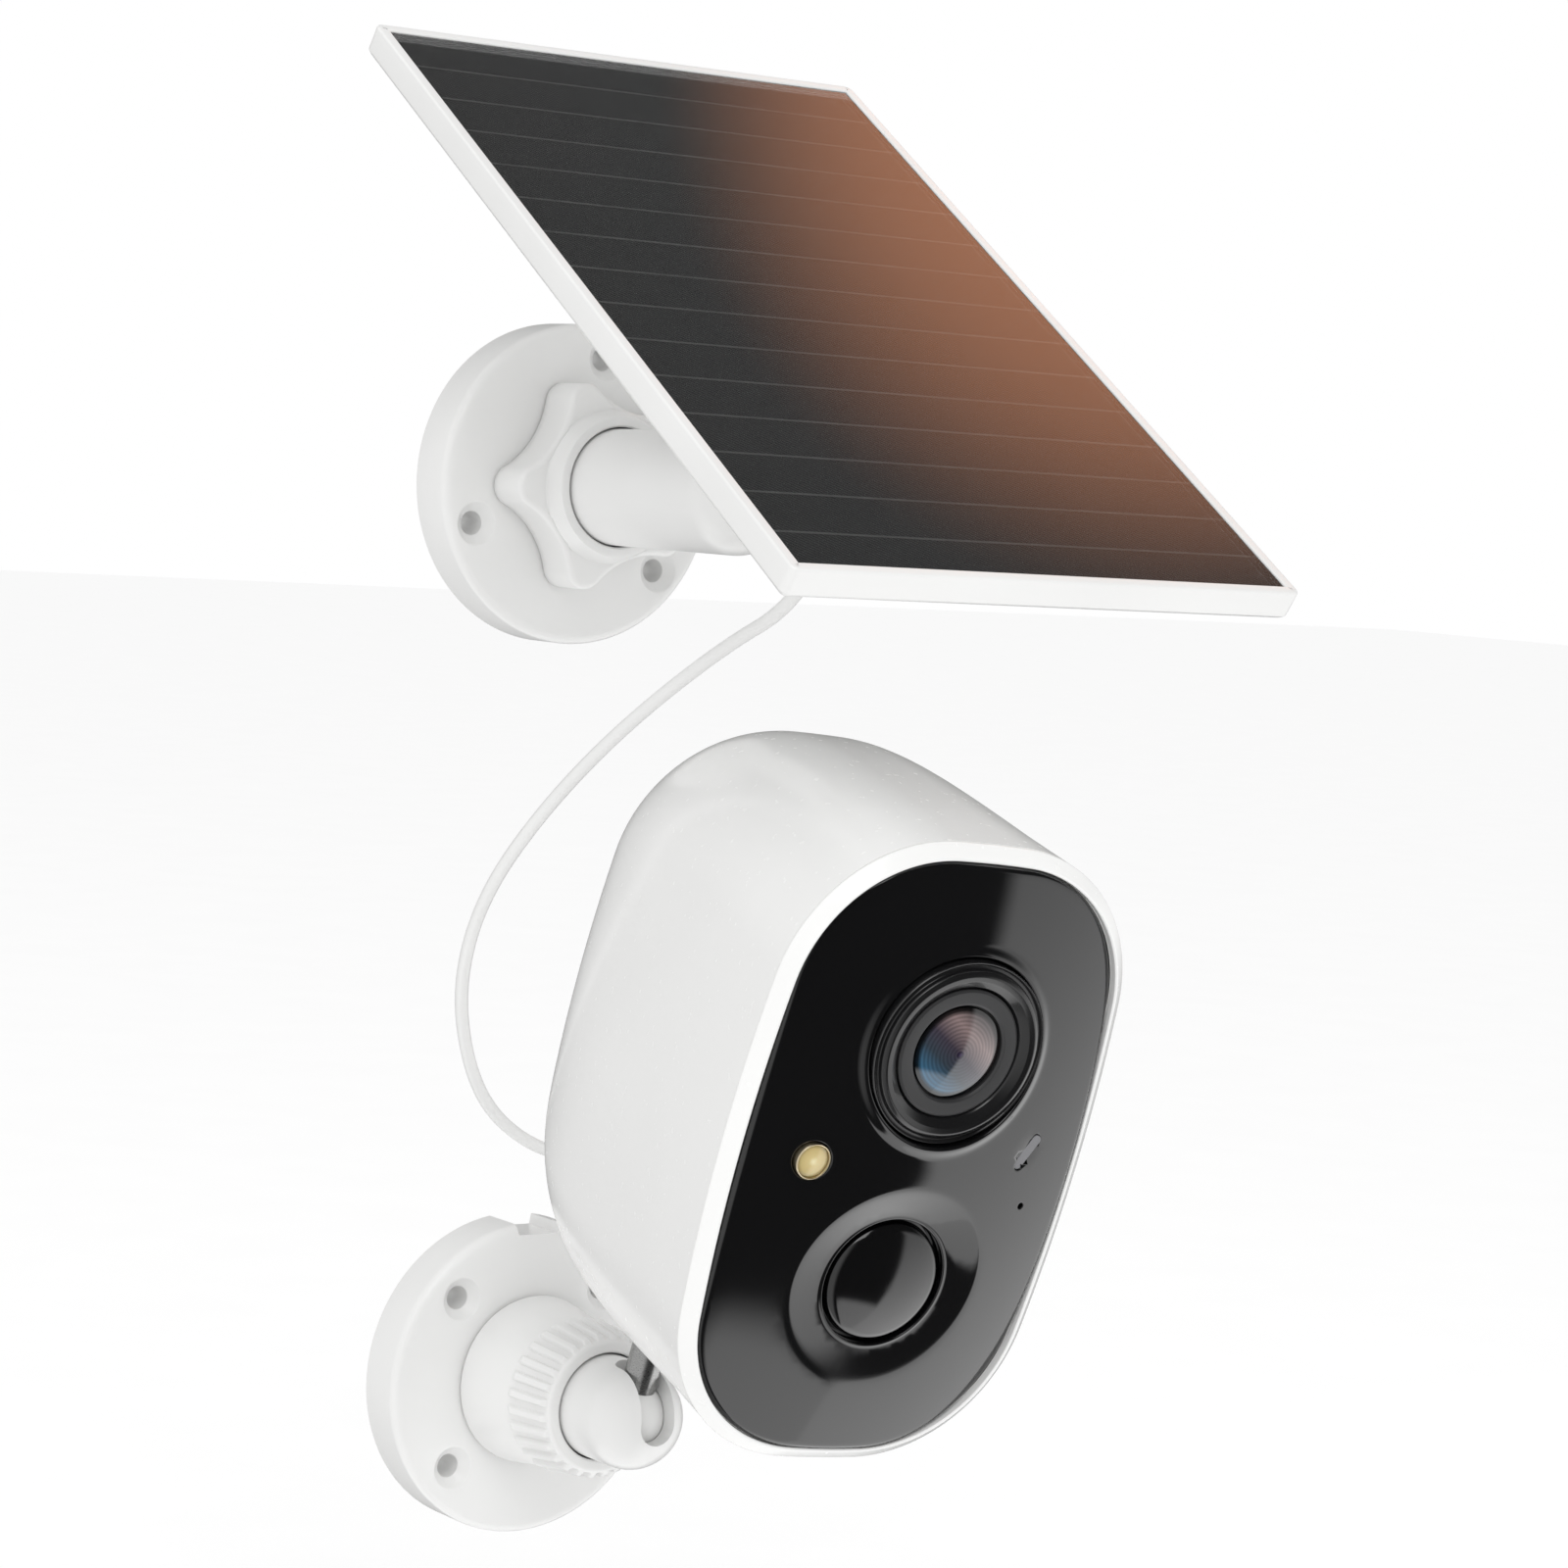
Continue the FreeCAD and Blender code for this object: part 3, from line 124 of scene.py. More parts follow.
# material helpers
def colour(hexValue, alpha=1.0):
    # sRGB hex to linear: straight below 0.04045, a 2.4 power above
    rgb = [int(hexValue[i:i + 2], 16) / 255 for i in (1, 3, 5)]
    return tuple(c / 12.92 if c <= 0.04045 else ((c + 0.055) / 1.055) ** 2.4 for c in rgb) + (alpha,)


def addNode(tree, kind, settings=None, links=None, stops=()):
    # one node: settings fill its properties, or its inputs by name or number; links feed its inputs from an
    # output, or from a node's first output; stops are the places and colours of a ramp
    node = tree.nodes.new(kind)
    for key, value in (settings or {}).items():
        if isinstance(key, int) or key in node.inputs.keys():
            node.inputs[key].default_value = value
        else:
            setattr(node, key, value)
    for key, source in (links or {}).items():
        output = source.outputs[0] if isinstance(source, bpy.types.Node) else source
        tree.links.new(output, node.inputs[key])
    for i, (place, hexValue) in enumerate(stops):
        elements = node.color_ramp.elements
        element = elements[i] if i < 2 else elements.new(place)
        element.position = place
        element.color = colour(hexValue)
    return node


def newMaterial(name, settings):
    # an empty node tree with one shader, and the coordinates that every pattern reads
    material = bpy.data.materials.new(name)
    material.use_nodes = True
    tree = material.node_tree
    tree.nodes.clear()
    shader = addNode(tree, "ShaderNodeBsdfPrincipled", settings)
    addNode(tree, "ShaderNodeOutputMaterial", None, {"Surface": shader})
    coords = addNode(tree, "ShaderNodeTexCoord").outputs["Object"]
    return material, tree, shader, coords


def placeTurn(place):
    # a part frame's three directions as the turn of a mapping
    return tuple(Matrix(place["axes"].tolist()).transposed().to_euler())


skin = {"driftMm": 40.0, "glossSpread": 0.15, "bumpStrength": 0.35}


def mouldedPlastic(name, light, dark, rough, grainMm, bumpDepth, settings):
    # moulded resin: an even colour that drifts very slightly, a fine skin texture and slightly uneven gloss
    material, tree, shader, coords = newMaterial(name, {"IOR": 1.5, "Roughness": rough} | settings)
    drift = addNode(tree, "ShaderNodeTexNoise", {"Scale": 1 / (skin["driftMm"] * mm), "Detail": 2.0},
                    {"Vector": coords})
    grain = addNode(tree, "ShaderNodeTexNoise", {"Scale": 1 / (grainMm * mm), "Detail": 3.0},
                    {"Vector": coords})
    tint = addNode(tree, "ShaderNodeValToRGB", None, {"Fac": drift}, ((0.3, dark), (0.7, light)))
    gloss = addNode(tree, "ShaderNodeMapRange", {"To Min": rough * (1 - skin["glossSpread"]),
                                                 "To Max": rough * (1 + skin["glossSpread"])},
                    {"Value": grain})
    bump = addNode(tree, "ShaderNodeBump", {"Strength": skin["bumpStrength"], "Distance": bumpDepth * mm},
                   {"Height": grain})
    tree.links.new(tint.outputs[0], shader.inputs["Base Color"])
    tree.links.new(gloss.outputs[0], shader.inputs["Roughness"])
    tree.links.new(bump.outputs[0], shader.inputs["Normal"])
    return material


brushed = {"stretch": 12.0, "glossSpread": 0.3, "bumpStrength": 0.3, "bumpMm": 0.01}


def brushedMetal(name, light, dark, rough, lineMm):
    # turned or drawn metal: fine lines run round or along it and stretch the highlight
    material, tree, shader, coords = newMaterial(name, {"Metallic": 1.0, "Roughness": rough})
    stretched = addNode(tree, "ShaderNodeMapping", {"Scale": (1.0, 1.0, brushed["stretch"])},
                        {"Vector": coords})
    lines = addNode(tree, "ShaderNodeTexNoise", {"Scale": 1 / (lineMm * mm), "Detail": 4.0},
                    {"Vector": stretched})
    tint = addNode(tree, "ShaderNodeValToRGB", None, {"Fac": lines}, ((0.35, dark), (0.65, light)))
    gloss = addNode(tree, "ShaderNodeMapRange", {"To Min": rough * (1 - brushed["glossSpread"]),
                                                 "To Max": rough * (1 + brushed["glossSpread"])},
                    {"Value": lines})
    bump = addNode(tree, "ShaderNodeBump", {"Strength": brushed["bumpStrength"],
                                            "Distance": brushed["bumpMm"] * mm}, {"Height": lines})
    tree.links.new(tint.outputs[0], shader.inputs["Base Color"])
    tree.links.new(gloss.outputs[0], shader.inputs["Roughness"])
    tree.links.new(bump.outputs[0], shader.inputs["Normal"])
    return material


def radialMaterial(name, place, radius, stops, settings, ringsMm):
    # the colour is a function of the distance from an axis over the radius, with faint turned rings as bump
    material, tree, shader, coords = newMaterial(name, settings)
    local = addNode(tree, "ShaderNodeMapping", {"vector_type": "TEXTURE", "Location": tuple(place["origin"]),
                                                "Rotation": placeTurn(place)}, {"Vector": coords})
    flat = addNode(tree, "ShaderNodeVectorMath", {"operation": "MULTIPLY", 1: (1, 0, 1)}, {0: local})
    far = addNode(tree, "ShaderNodeVectorMath", {"operation": "LENGTH"}, {0: flat})
    share = addNode(tree, "ShaderNodeMapRange", {"From Max": radius * mm}, {"Value": far.outputs["Value"]})
    tint = addNode(tree, "ShaderNodeValToRGB", None, {"Fac": share}, stops)
    rings = addNode(tree, "ShaderNodeTexWave", {"wave_type": "RINGS", "rings_direction": "SPHERICAL",
                                                "Scale": 0.314 / (ringsMm * mm)}, {"Vector": flat})
    bump = addNode(tree, "ShaderNodeBump", {"Strength": 0.25, "Distance": 0.02 * mm},
                   {"Height": rings.outputs["Fac"]})
    tree.links.new(tint.outputs[0], shader.inputs["Base Color"])
    tree.links.new(bump.outputs[0], shader.inputs["Normal"])
    return material


laminate = {"lineMm": 10.0, "lineWidthMm": 0.5, "lineShow": 0.6, "weaveMm": 0.9, "weaveLean": 0.8,
            "cloudMm": 25.0, "cloudShow": 0.25, "dark": "#1a1a1b", "light": "#454546",
            "cloud": "#33302f", "line": "#8a8a88"}


def solarLaminate():
    # monocrystalline cells under a film: near-black, a fine slanting weave, and thin light conductor lines
    # across the short way. The weave is drawn at 0.9 mm so that it shows.
    k = laminate
    material, tree, shader, coords = newMaterial("monocrystallineLaminate", {"IOR": 1.5, "Roughness": 0.5,
                                                                             "Specular IOR Level": 0.0})
    local = addNode(tree, "ShaderNodeMapping", {"vector_type": "TEXTURE",
                                                "Location": tuple(panelFrame["origin"]),
                                                "Rotation": placeTurn(panelFrame)}, {"Vector": coords})
    parts = addNode(tree, "ShaderNodeSeparateXYZ", None, {"Vector": local})
    # a conductor line where the height's share of a pitch is near one half
    pitch = k["lineMm"] * mm
    above = addNode(tree, "ShaderNodeMath", {"operation": "ADD", 1: 10 * pitch}, {0: parts.outputs["Y"]})
    pitches = addNode(tree, "ShaderNodeMath", {"operation": "DIVIDE", 1: pitch}, {0: above})
    place = addNode(tree, "ShaderNodeMath", {"operation": "FRACT"}, {0: pitches})
    offset = addNode(tree, "ShaderNodeMath", {"operation": "SUBTRACT", 1: 0.5}, {0: place})
    away = addNode(tree, "ShaderNodeMath", {"operation": "ABSOLUTE"}, {0: offset})
    line = addNode(tree, "ShaderNodeMath", {"operation": "LESS_THAN", 1: k["lineWidthMm"] / k["lineMm"] / 2},
                   {0: away})
    # slanting weave: stripes across the sum of both directions
    leaning = addNode(tree, "ShaderNodeMath", {"operation": "MULTIPLY", 1: k["weaveLean"]},
                      {0: parts.outputs["X"]})
    across = addNode(tree, "ShaderNodeMath", {"operation": "ADD"}, {0: leaning, 1: parts.outputs["Y"]})
    angle = addNode(tree, "ShaderNodeMath", {"operation": "MULTIPLY", 1: 2 * math.pi / (k["weaveMm"] * mm)},
                    {0: across})
    wave = addNode(tree, "ShaderNodeMath", {"operation": "SINE"}, {0: angle})
    weave = addNode(tree, "ShaderNodeMath", {"operation": "MULTIPLY_ADD", 1: 0.5, 2: 0.5}, {0: wave})
    base = addNode(tree, "ShaderNodeValToRGB", None, {"Fac": weave}, ((0.0, k["dark"]), (1.0, k["light"])))
    # a mix of colours takes its share at input 0 and its colours at 6 and 7, and gives one at output 2
    cloud = addNode(tree, "ShaderNodeTexNoise", {"Scale": 1 / (k["cloudMm"] * mm), "Detail": 3.0},
                    {"Vector": coords})
    cloudShare = addNode(tree, "ShaderNodeMapRange", {"To Min": 0.0, "To Max": k["cloudShow"]},
                         {"Value": cloud})
    tinted = addNode(tree, "ShaderNodeMix", {"data_type": "RGBA", 7: colour(k["cloud"])},
                     {0: cloudShare, 6: base})
    lineShare = addNode(tree, "ShaderNodeMath", {"operation": "MULTIPLY", 1: k["lineShow"]}, {0: line})
    lined = addNode(tree, "ShaderNodeMix", {"data_type": "RGBA", 7: colour(k["line"])},
                    {0: lineShare, 6: tinted.outputs[2]})
    bump = addNode(tree, "ShaderNodeBump", {"Strength": 0.3, "Distance": 0.03 * mm}, {"Height": weave})
    tree.links.new(lined.outputs[2], shader.inputs["Base Color"])
    tree.links.new(bump.outputs[0], shader.inputs["Normal"])
    return material


def circuitBoard():
    # glass-epoxy board under green solder mask: copper tracks show through as paler, raised lines
    material, tree, shader, coords = newMaterial("solderMaskBoard", {"IOR": 1.5, "Roughness": 0.35})
    tracks = addNode(tree, "ShaderNodeTexBrick", {"Scale": 1 / (6 * mm), "Mortar Size": 0.06,
                                                  "Color1": colour("#0f4a26"), "Color2": colour("#12552c"),
                                                  "Mortar": colour("#2f7a45")}, {"Vector": coords})
    bump = addNode(tree, "ShaderNodeBump", {"Strength": 0.4, "Distance": 0.03 * mm},
                   {"Height": tracks.outputs["Fac"]})
    tree.links.new(tracks.outputs["Color"], shader.inputs["Base Color"])
    tree.links.new(bump.outputs[0], shader.inputs["Normal"])
    return material


# lens colours that paint the coating's reflections: a slanting tint, blue on one side and warm on the other,
# and a radial shade with a violet painted reflection in the middle and a darker rim
lensReflectionPaint = {"ringMm": 0.62, "ringDark": 0.72, "ringLight": 1.1, "radiusMm": 7.5, "reflectionSlant": (0.35, 0, 0.5),
           "across": ((0.02, "#3f6c8a"), (0.28, "#3a4550"), (0.5, "#453f4b"), (0.78, "#94807f"),
                      (1.0, "#5d5556")),
           "outwards": ((0.0, "#b79ae6"), (0.07, "#8d7aa8"), (0.1, "#dcdcdc"), (0.86, "#e8e8e8"),
                        (0.93, "#4a4a4a"), (1.0, "#2c2c2c"))}


def paintedLensFace():
    # coated glass drawn opaque: a painted reflection of the coating that changes on the slant, blue on one
    # side and warm on the other, times a shade that changes with the distance from the axis (a violet painted
    # reflection in the middle, pale across, darker at the rim), times fine rings
    k = lensReflectionPaint
    material, tree, shader, coords = newMaterial("coatedLensPaintedReflection", {
        "Roughness": 0.04, "IOR": 1.5, "Coat Weight": 1.0, "Coat Roughness": 0.02,
        "Specular IOR Level": 0.3})
    local = addNode(tree, "ShaderNodeMapping", {"vector_type": "TEXTURE",
                                                "Location": tuple(lensPlace["origin"]),
                                                "Rotation": placeTurn(lensPlace),
                                                "Scale": (k["radiusMm"] * mm,) * 3}, {"Vector": coords})
    flat = addNode(tree, "ShaderNodeVectorMath", {"operation": "MULTIPLY", 1: (1, 0, 1)}, {0: local})
    far = addNode(tree, "ShaderNodeVectorMath", {"operation": "LENGTH"}, {0: flat}).outputs["Value"]
    reflectionSlant = addNode(tree, "ShaderNodeVectorMath", {"operation": "DOT_PRODUCT", 1: k["reflectionSlant"]}, {0: flat})
    across = addNode(tree, "ShaderNodeMath", {"operation": "ADD", 1: 0.5}, {0: reflectionSlant.outputs["Value"]})
    # painted reflection: the coating's tint changes across the slant, blue on one side and warm on the other
    tint = addNode(tree, "ShaderNodeValToRGB", None, {"Fac": across}, k["across"])
    # a violet painted reflection in the middle, pale across, darker at the rim
    shade = addNode(tree, "ShaderNodeValToRGB", None, {"Fac": far}, k["outwards"])
    angle = addNode(tree, "ShaderNodeMath", {"operation": "MULTIPLY",
                                             1: 2 * math.pi * k["radiusMm"] / k["ringMm"]}, {0: far})
    wave = addNode(tree, "ShaderNodeMath", {"operation": "SINE"}, {0: angle})
    rings = addNode(tree, "ShaderNodeMapRange", {"From Min": -1.0, "To Min": k["ringDark"],
                                                 "To Max": k["ringLight"]}, {"Value": wave})
    toned = addNode(tree, "ShaderNodeMix", {"data_type": "RGBA", "blend_type": "MULTIPLY", 0: 1.0},
                    {6: tint, 7: shade})
    shaded = addNode(tree, "ShaderNodeVectorMath", {"operation": "SCALE"},
                     {0: toned.outputs[2], "Scale": rings})
    tree.links.new(shaded.outputs["Vector"], shader.inputs["Base Color"])
    return material


lensPlace = partFrame(toWorld(cameraFrame, (0.0, 0.0, 20.4)), camX, camY, camZ)
ledPlace = partFrame(toWorld(cameraFrame, (-19.9, 0.0, 0.6)), camX, camY, camZ)
print("materials")
# ABS body, moulded and lightly polished: reads as clean white with soft wide highlights
whiteBody = mouldedPlastic("mouldedWhiteAbs", "#f2f2f1", "#eeeeed", 0.26, 1.6, 0.0015,
                           {"Coat Weight": 0.25, "Coat Roughness": 0.12})
# bracket ABS from a plainer mould: a touch greyer and less glossy
whiteBracket = mouldedPlastic("mouldedWhiteBracketAbs", "#ececeb", "#e5e5e4", 0.33, 0.8, 0.008,
                              {"Coat Weight": 0.1})
# PMMA front window, dyed black and polished: mirror-like with soft wide reflections
blackPlate = mouldedPlastic("polishedBlackAcrylic", "#0d0d0e", "#0b0b0c", 0.09, 6.0, 0.002,
                            {"Coat Weight": 0.6, "Coat Roughness": 0.03})
# dyed polycarbonate ring round the lens, moulded and polished: black with thin bright edges
blackRing = mouldedPlastic("turnedBlackPolycarbonate", "#161617", "#121213", 0.22, 0.5, 0.004,
                           {"Coat Weight": 0.3})
# lens retainer of the same resin with an etched finish: a soft dark grey
satinRing = mouldedPlastic("satinGreyRetainer", "#323233", "#2d2d2e", 0.42, 0.35, 0.006, {})
# polyethylene dome, dark and polished: lets infrared through and looks black
sensorDome = mouldedPlastic("polishedInfraredDome", "#0a0a0b", "#080809", 0.12, 4.0, 0.003,
                            {"Coat Weight": 0.5})
# glass-filled nylon, moulded: the dull black of parts inside
internalBlack = mouldedPlastic("mouldedBlackNylon", "#1c1c1d", "#161616", 0.5, 0.6, 0.02, {})
# silicone rubber, moulded: matt black that hardly shines
sealRubber = mouldedPlastic("mouldedSealRubber", "#1d1d1e", "#171717", 0.75, 0.5, 0.03,
                            {"Specular IOR Level": 0.3})
# soft PVC, extruded over two cores: smooth white with a long dull highlight
cableSkin = mouldedPlastic("extrudedWhiteCableSkin", "#ebebea", "#e6e6e5", 0.38, 4.0, 0.002,
                           {"Coat Weight": 0.05})
# thermoplastic elastomer, moulded: a warmer, duller white than the cable
bootRubber = mouldedPlastic("mouldedWhiteElastomer", "#e6e6e5", "#dededd", 0.5, 0.5, 0.012, {})
# PVC film shrunk on steel cells: green with a mild gloss
cellWrap = mouldedPlastic("shrinkWrappedCell", "#2f8f74", "#297f67", 0.3, 1.2, 0.01, {})
# polycarbonate light guide, frosted: unlit grey
lightPipe = mouldedPlastic("frostedLightPipe", "#77777a", "#6c6c6f", 0.3, 0.6, 0.004, {"Coat Weight": 0.4})
# stainless steel, turned: grey with fine lines
steel = brushedMetal("turnedSteel", "#b9b9b8", "#8f8f8e", 0.28, 0.3)
# brass inserts, turned and knurled: yellow with fine lines
brass = brushedMetal("knurledBrass", "#d8b561", "#b08b3e", 0.32, 0.3)
# reflector rim, metal-plated: pale gold round the spotlight
spotRing = brushedMetal("platedSpotlightRim", "#f0e2c4", "#d8c9a6", 0.3, 0.25)
board = circuitBoard()
cells = solarLaminate()
# soda-lime cover glass, tempered: clear, smooth and slightly soft in reflection
coverGlass = mouldedPlastic("temperedCoverGlass", "#ffffff", "#fbfdfc", 0.03, 2.0, 0.0002,
                            {"Transmission Weight": 1.0, "IOR": 1.5})
# optical glass, ground and coated: a blue edge, a purple-grey middle and a warm bloom, all painted
# reflections of the coating, with the inner rings showing through
lensPaintedReflection = paintedLensFace()
# silicone over phosphor, moulded: straw yellow, paler in the middle
spotLens = radialMaterial("phosphorSilicone", ledPlace, 2.6,
                          ((0.0, "#e7dcb4"), (0.3, "#cdbb86"), (0.8, "#c0ad77"), (1.0, "#9b8a5c")),
                          {"Roughness": 0.18, "IOR": 1.41, "Coat Weight": 0.8, "Subsurface Weight": 0.1,
                           "Subsurface Scale": 0.002}, 0.8)


# mesh helpers
def buildPiece(name, points, faces, material, body, replaced=(), sharp=35):
    # points and faces to a smooth mesh object; edges sharper than the angle stay sharp
    mesh = bpy.data.meshes.new(name)
    mesh.from_pydata(np.asarray(points, float).tolist(), [], [list(map(int, f)) for f in faces])
    mesh.validate()
    mesh.polygons.foreach_set("use_smooth", np.ones(len(mesh.polygons), bool))
    mesh.set_sharp_from_angle(angle=math.radians(sharp))
    obj = bpy.data.objects.new(name, mesh)
    bpy.context.scene.collection.objects.link(obj)
    obj.data.materials.append(material)
    if body:
        finishPiece(obj, body, replaced)
    return obj


def finishPiece(obj, body, replaced):
    # the piece rides on its body and stands for its nodes
    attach(obj, body)
    if replaced:
        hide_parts(*replaced)


def gridFaces(rows, columns, wrapRows):
    # quads between neighbouring rows and columns; columns always close on themselves
    i = np.arange(rows if wrapRows else rows - 1)[:, None]
    j = np.arange(columns)[None, :]
    i2, j2 = (i + 1) % rows, (j + 1) % columns
    corners = [i * columns + j, i * columns + j2, i2 * columns + j2, i2 * columns + j]
    return np.stack(corners, -1).reshape(-1, 4)


def closeRows(points, capFirst, capLast):
    # rows of rings to a closed skin; a cap is one middle point joined to the end ring
    rows, columns = points.shape[:2]
    flat = points.reshape(-1, 3)
    wrap = not (capFirst or capLast)
    faces = gridFaces(rows, columns, wrap).tolist()
    j = np.arange(columns)
    for use, ring, flip in ((capFirst, 0, True), (capLast, rows - 1, False)):
        if use:
            middle = len(flat)
            flat = np.vstack([flat, points[ring].mean(0)])
            a, b = ring * columns + j, ring * columns + (j + 1) % columns
            if flip:
                a, b = b, a
            faces += np.stack([a, b, np.full(columns, middle)], -1).tolist()
    return flat, faces


def outwards(points, faces):
    # the signed volume is the sum of a . (b x c) over the faces' fans; below zero, every face is flipped
    fans = np.array([(f[0], f[k], f[k + 1]) for f in faces for k in range(1, len(f) - 1)])
    a, b, c = np.asarray(points)[fans].transpose(1, 0, 2)
    volume = np.sum(a * np.cross(b, c))
    return faces if volume > 0 else [f[::-1] for f in faces]


def rounded(corners, steps=6):
    # a closed outline's corners (x, y, radius) become tangent arcs
    pts = np.array([c[:2] for c in corners], float)
    out = []
    count = len(corners)
    for i, corner in enumerate(corners):
        here, before, after = pts[i], pts[i - 1], pts[(i + 1) % count]
        a, b = before - here, after - here
        la, lb = np.linalg.norm(a), np.linalg.norm(b)
        a, b = a / la, b / lb
        half = math.acos(max(-1.0, min(1.0, float(a @ b)))) / 2
        radius = corner[2] if len(corner) > 2 else 0.0
        if radius <= 0 or half > math.pi / 2 - 0.02:
            out.append(here)
            continue
        reach = min(radius / math.tan(half), 0.49 * la, 0.49 * lb)
        radius = reach * math.tan(half)
        middle = (a + b) / np.linalg.norm(a + b)
        centre = here + middle * radius / math.sin(half)
        t = np.linspace(0, 1, steps + 1)[:, None]
        start, end = here + a * reach - centre, here + b * reach - centre
        swing = start * (1 - t) + end * t
        out.extend(centre + swing / np.linalg.norm(swing, axis=1)[:, None] * radius)
    return np.array(out)


def spunRows(profile, segments):
    # each profile point (radius, distance) becomes a ring; the axis is local -Y
    t = np.linspace(0, 2 * math.pi, segments, endpoint=False)
    r, d = profile[:, :1], profile[:, 1:]
    return np.stack([r * np.cos(t), -d + 0 * t, r * np.sin(t)], -1)


def spunPiece(name, corners, place, centre, material, body, replaced, segments=96, along=(0, -1, 0), steps=6):
    # a rounded closed profile turned about an axis through centre
    profile = rounded(corners, steps)
    rows = spunRows(profile, segments)
    if tuple(along) == (0, 0, 1):
        rows = rows[..., [0, 2, 1]] * np.array([1, 1, -1])
    elif tuple(along) == (0, 0, -1):
        rows = rows[..., [0, 2, 1]]
    onAxis = profile[:, 0] < 1e-6
    if onAxis.any():
        k = int(np.argmax(onAxis)) if not onAxis[0] or onAxis[-1] else 0
        order = np.roll(np.arange(len(profile)), -k)
        flat, faces = closeRows(rows[order][~onAxis[order]], True, True)
    else:
        flat, faces = closeRows(rows, False, False)
    points = toWorld(place, flat + np.array(centre, float))
    return buildPiece(name, points, outwards(points, faces), material, body, replaced)


plate = {"halfW": 31.0, "halfH": 50.0, "cornerR": 24.0, "sideR": 300.0, "endR": 200.0, "crown": 6.0,
         "crownSideR": 98.6, "crownTallR": 278.0}


def outlinePoints(halfW, halfH, cornerR, sideR, endR, perArc=(14, 34, 14)):
    # corner arcs tangent to long side and end arcs; a quarter is swept by its normal's angle, then mirrored
    halfW, halfH, cornerR = (np.asarray(v, float)[..., None] for v in (halfW, halfH, cornerR))
    sx, ez = halfW - sideR, halfH - endR
    d = np.hypot(sx, ez)
    a, b = sideR - cornerR, endR - cornerR
    along = (a * a - b * b + d * d) / (2 * d)
    across = np.sqrt(a * a - along * along)
    dx, dz = -sx, ez
    cx, cz = sx + (dx * along - dz * across) / d, (dz * along + dx * across) / d
    phi1 = np.arctan2(cz, cx - sx)
    phi2 = np.arctan2(cz - ez, cx)
    t = [np.linspace(0, 1, n, endpoint=False) for n in perArc]
    arcs = ((0 * phi1, phi1, sx, 0 * sx, sideR + 0 * phi1, t[0]), (phi1, phi2, cx, cz, cornerR, t[1]),
            (phi2, np.full_like(phi2, math.pi / 2), 0 * ez, ez, endR + 0 * phi1, t[2]))
    px, pz, ph = [], [], []
    for f0, f1, ox, oz, r, s in arcs:
        phi = f0 + (f1 - f0) * s
        px.append(ox + r * np.cos(phi))
        pz.append(oz + r * np.sin(phi))
        ph.append(phi)
    px, pz, ph = (np.concatenate(v, -1) for v in (px, pz, ph))
    topX, topZ, topP = 0 * halfW, halfH, np.full_like(halfW, math.pi / 2)
    qx, qz, qp = (np.concatenate([v, w], -1) for v, w in ((px, topX), (pz, topZ), (ph, topP)))
    full = []
    for sxn, szn, flip in ((1, 1, False), (-1, 1, True), (-1, -1, False), (1, -1, True)):
        x, z, p = qx * sxn, qz * szn, qp
        nx, nz = np.cos(p) * sxn, np.sin(p) * szn
        part = np.stack([x, z, nx, nz], -1)
        part = part[..., ::-1, :] if flip else part
        full.append(part[..., :-1, :])
    return np.concatenate(full, -2)


def crownY(x, z):
    # the plate bulges on a barrel: a circle across, swept on a longer circle up and down
    tall = plate["crownTallR"] - plate["crownSideR"] + np.sqrt(plate["crownSideR"] ** 2 - x * x)
    return plate["crownTallR"] - plate["crown"] - np.sqrt(tall * tall - z * z)


def ringEdges(rings, start):
    # each ring's neighbours are joined, apart from a gap that is much longer than the rest
    edges = []
    for ring in rings:
        n = len(ring)
        step = np.linalg.norm(np.roll(ring, -1, 0) - ring, axis=1)
        keep = np.flatnonzero(step < 4 * np.median(step) + 0.5)
        edges += np.stack([start + keep, start + (keep + 1) % n], -1).tolist()
        start += n
    return edges


def insideLoop(points, loop):
    # a point is inside when a level line from it crosses the loop an odd number of times
    x, z = points[:, :1], points[:, 1:]
    x0, z0 = loop[:, 0], loop[:, 1]
    x1, z1 = np.roll(x0, -1), np.roll(z0, -1)
    crosses = (z0 > z) != (z1 > z)
    slope = (x1 - x0) / np.where(z1 == z0, 1e-9, z1 - z0)
    return np.sum(crosses & (x < x0 + (z - z0) * slope), 1) % 2 == 1


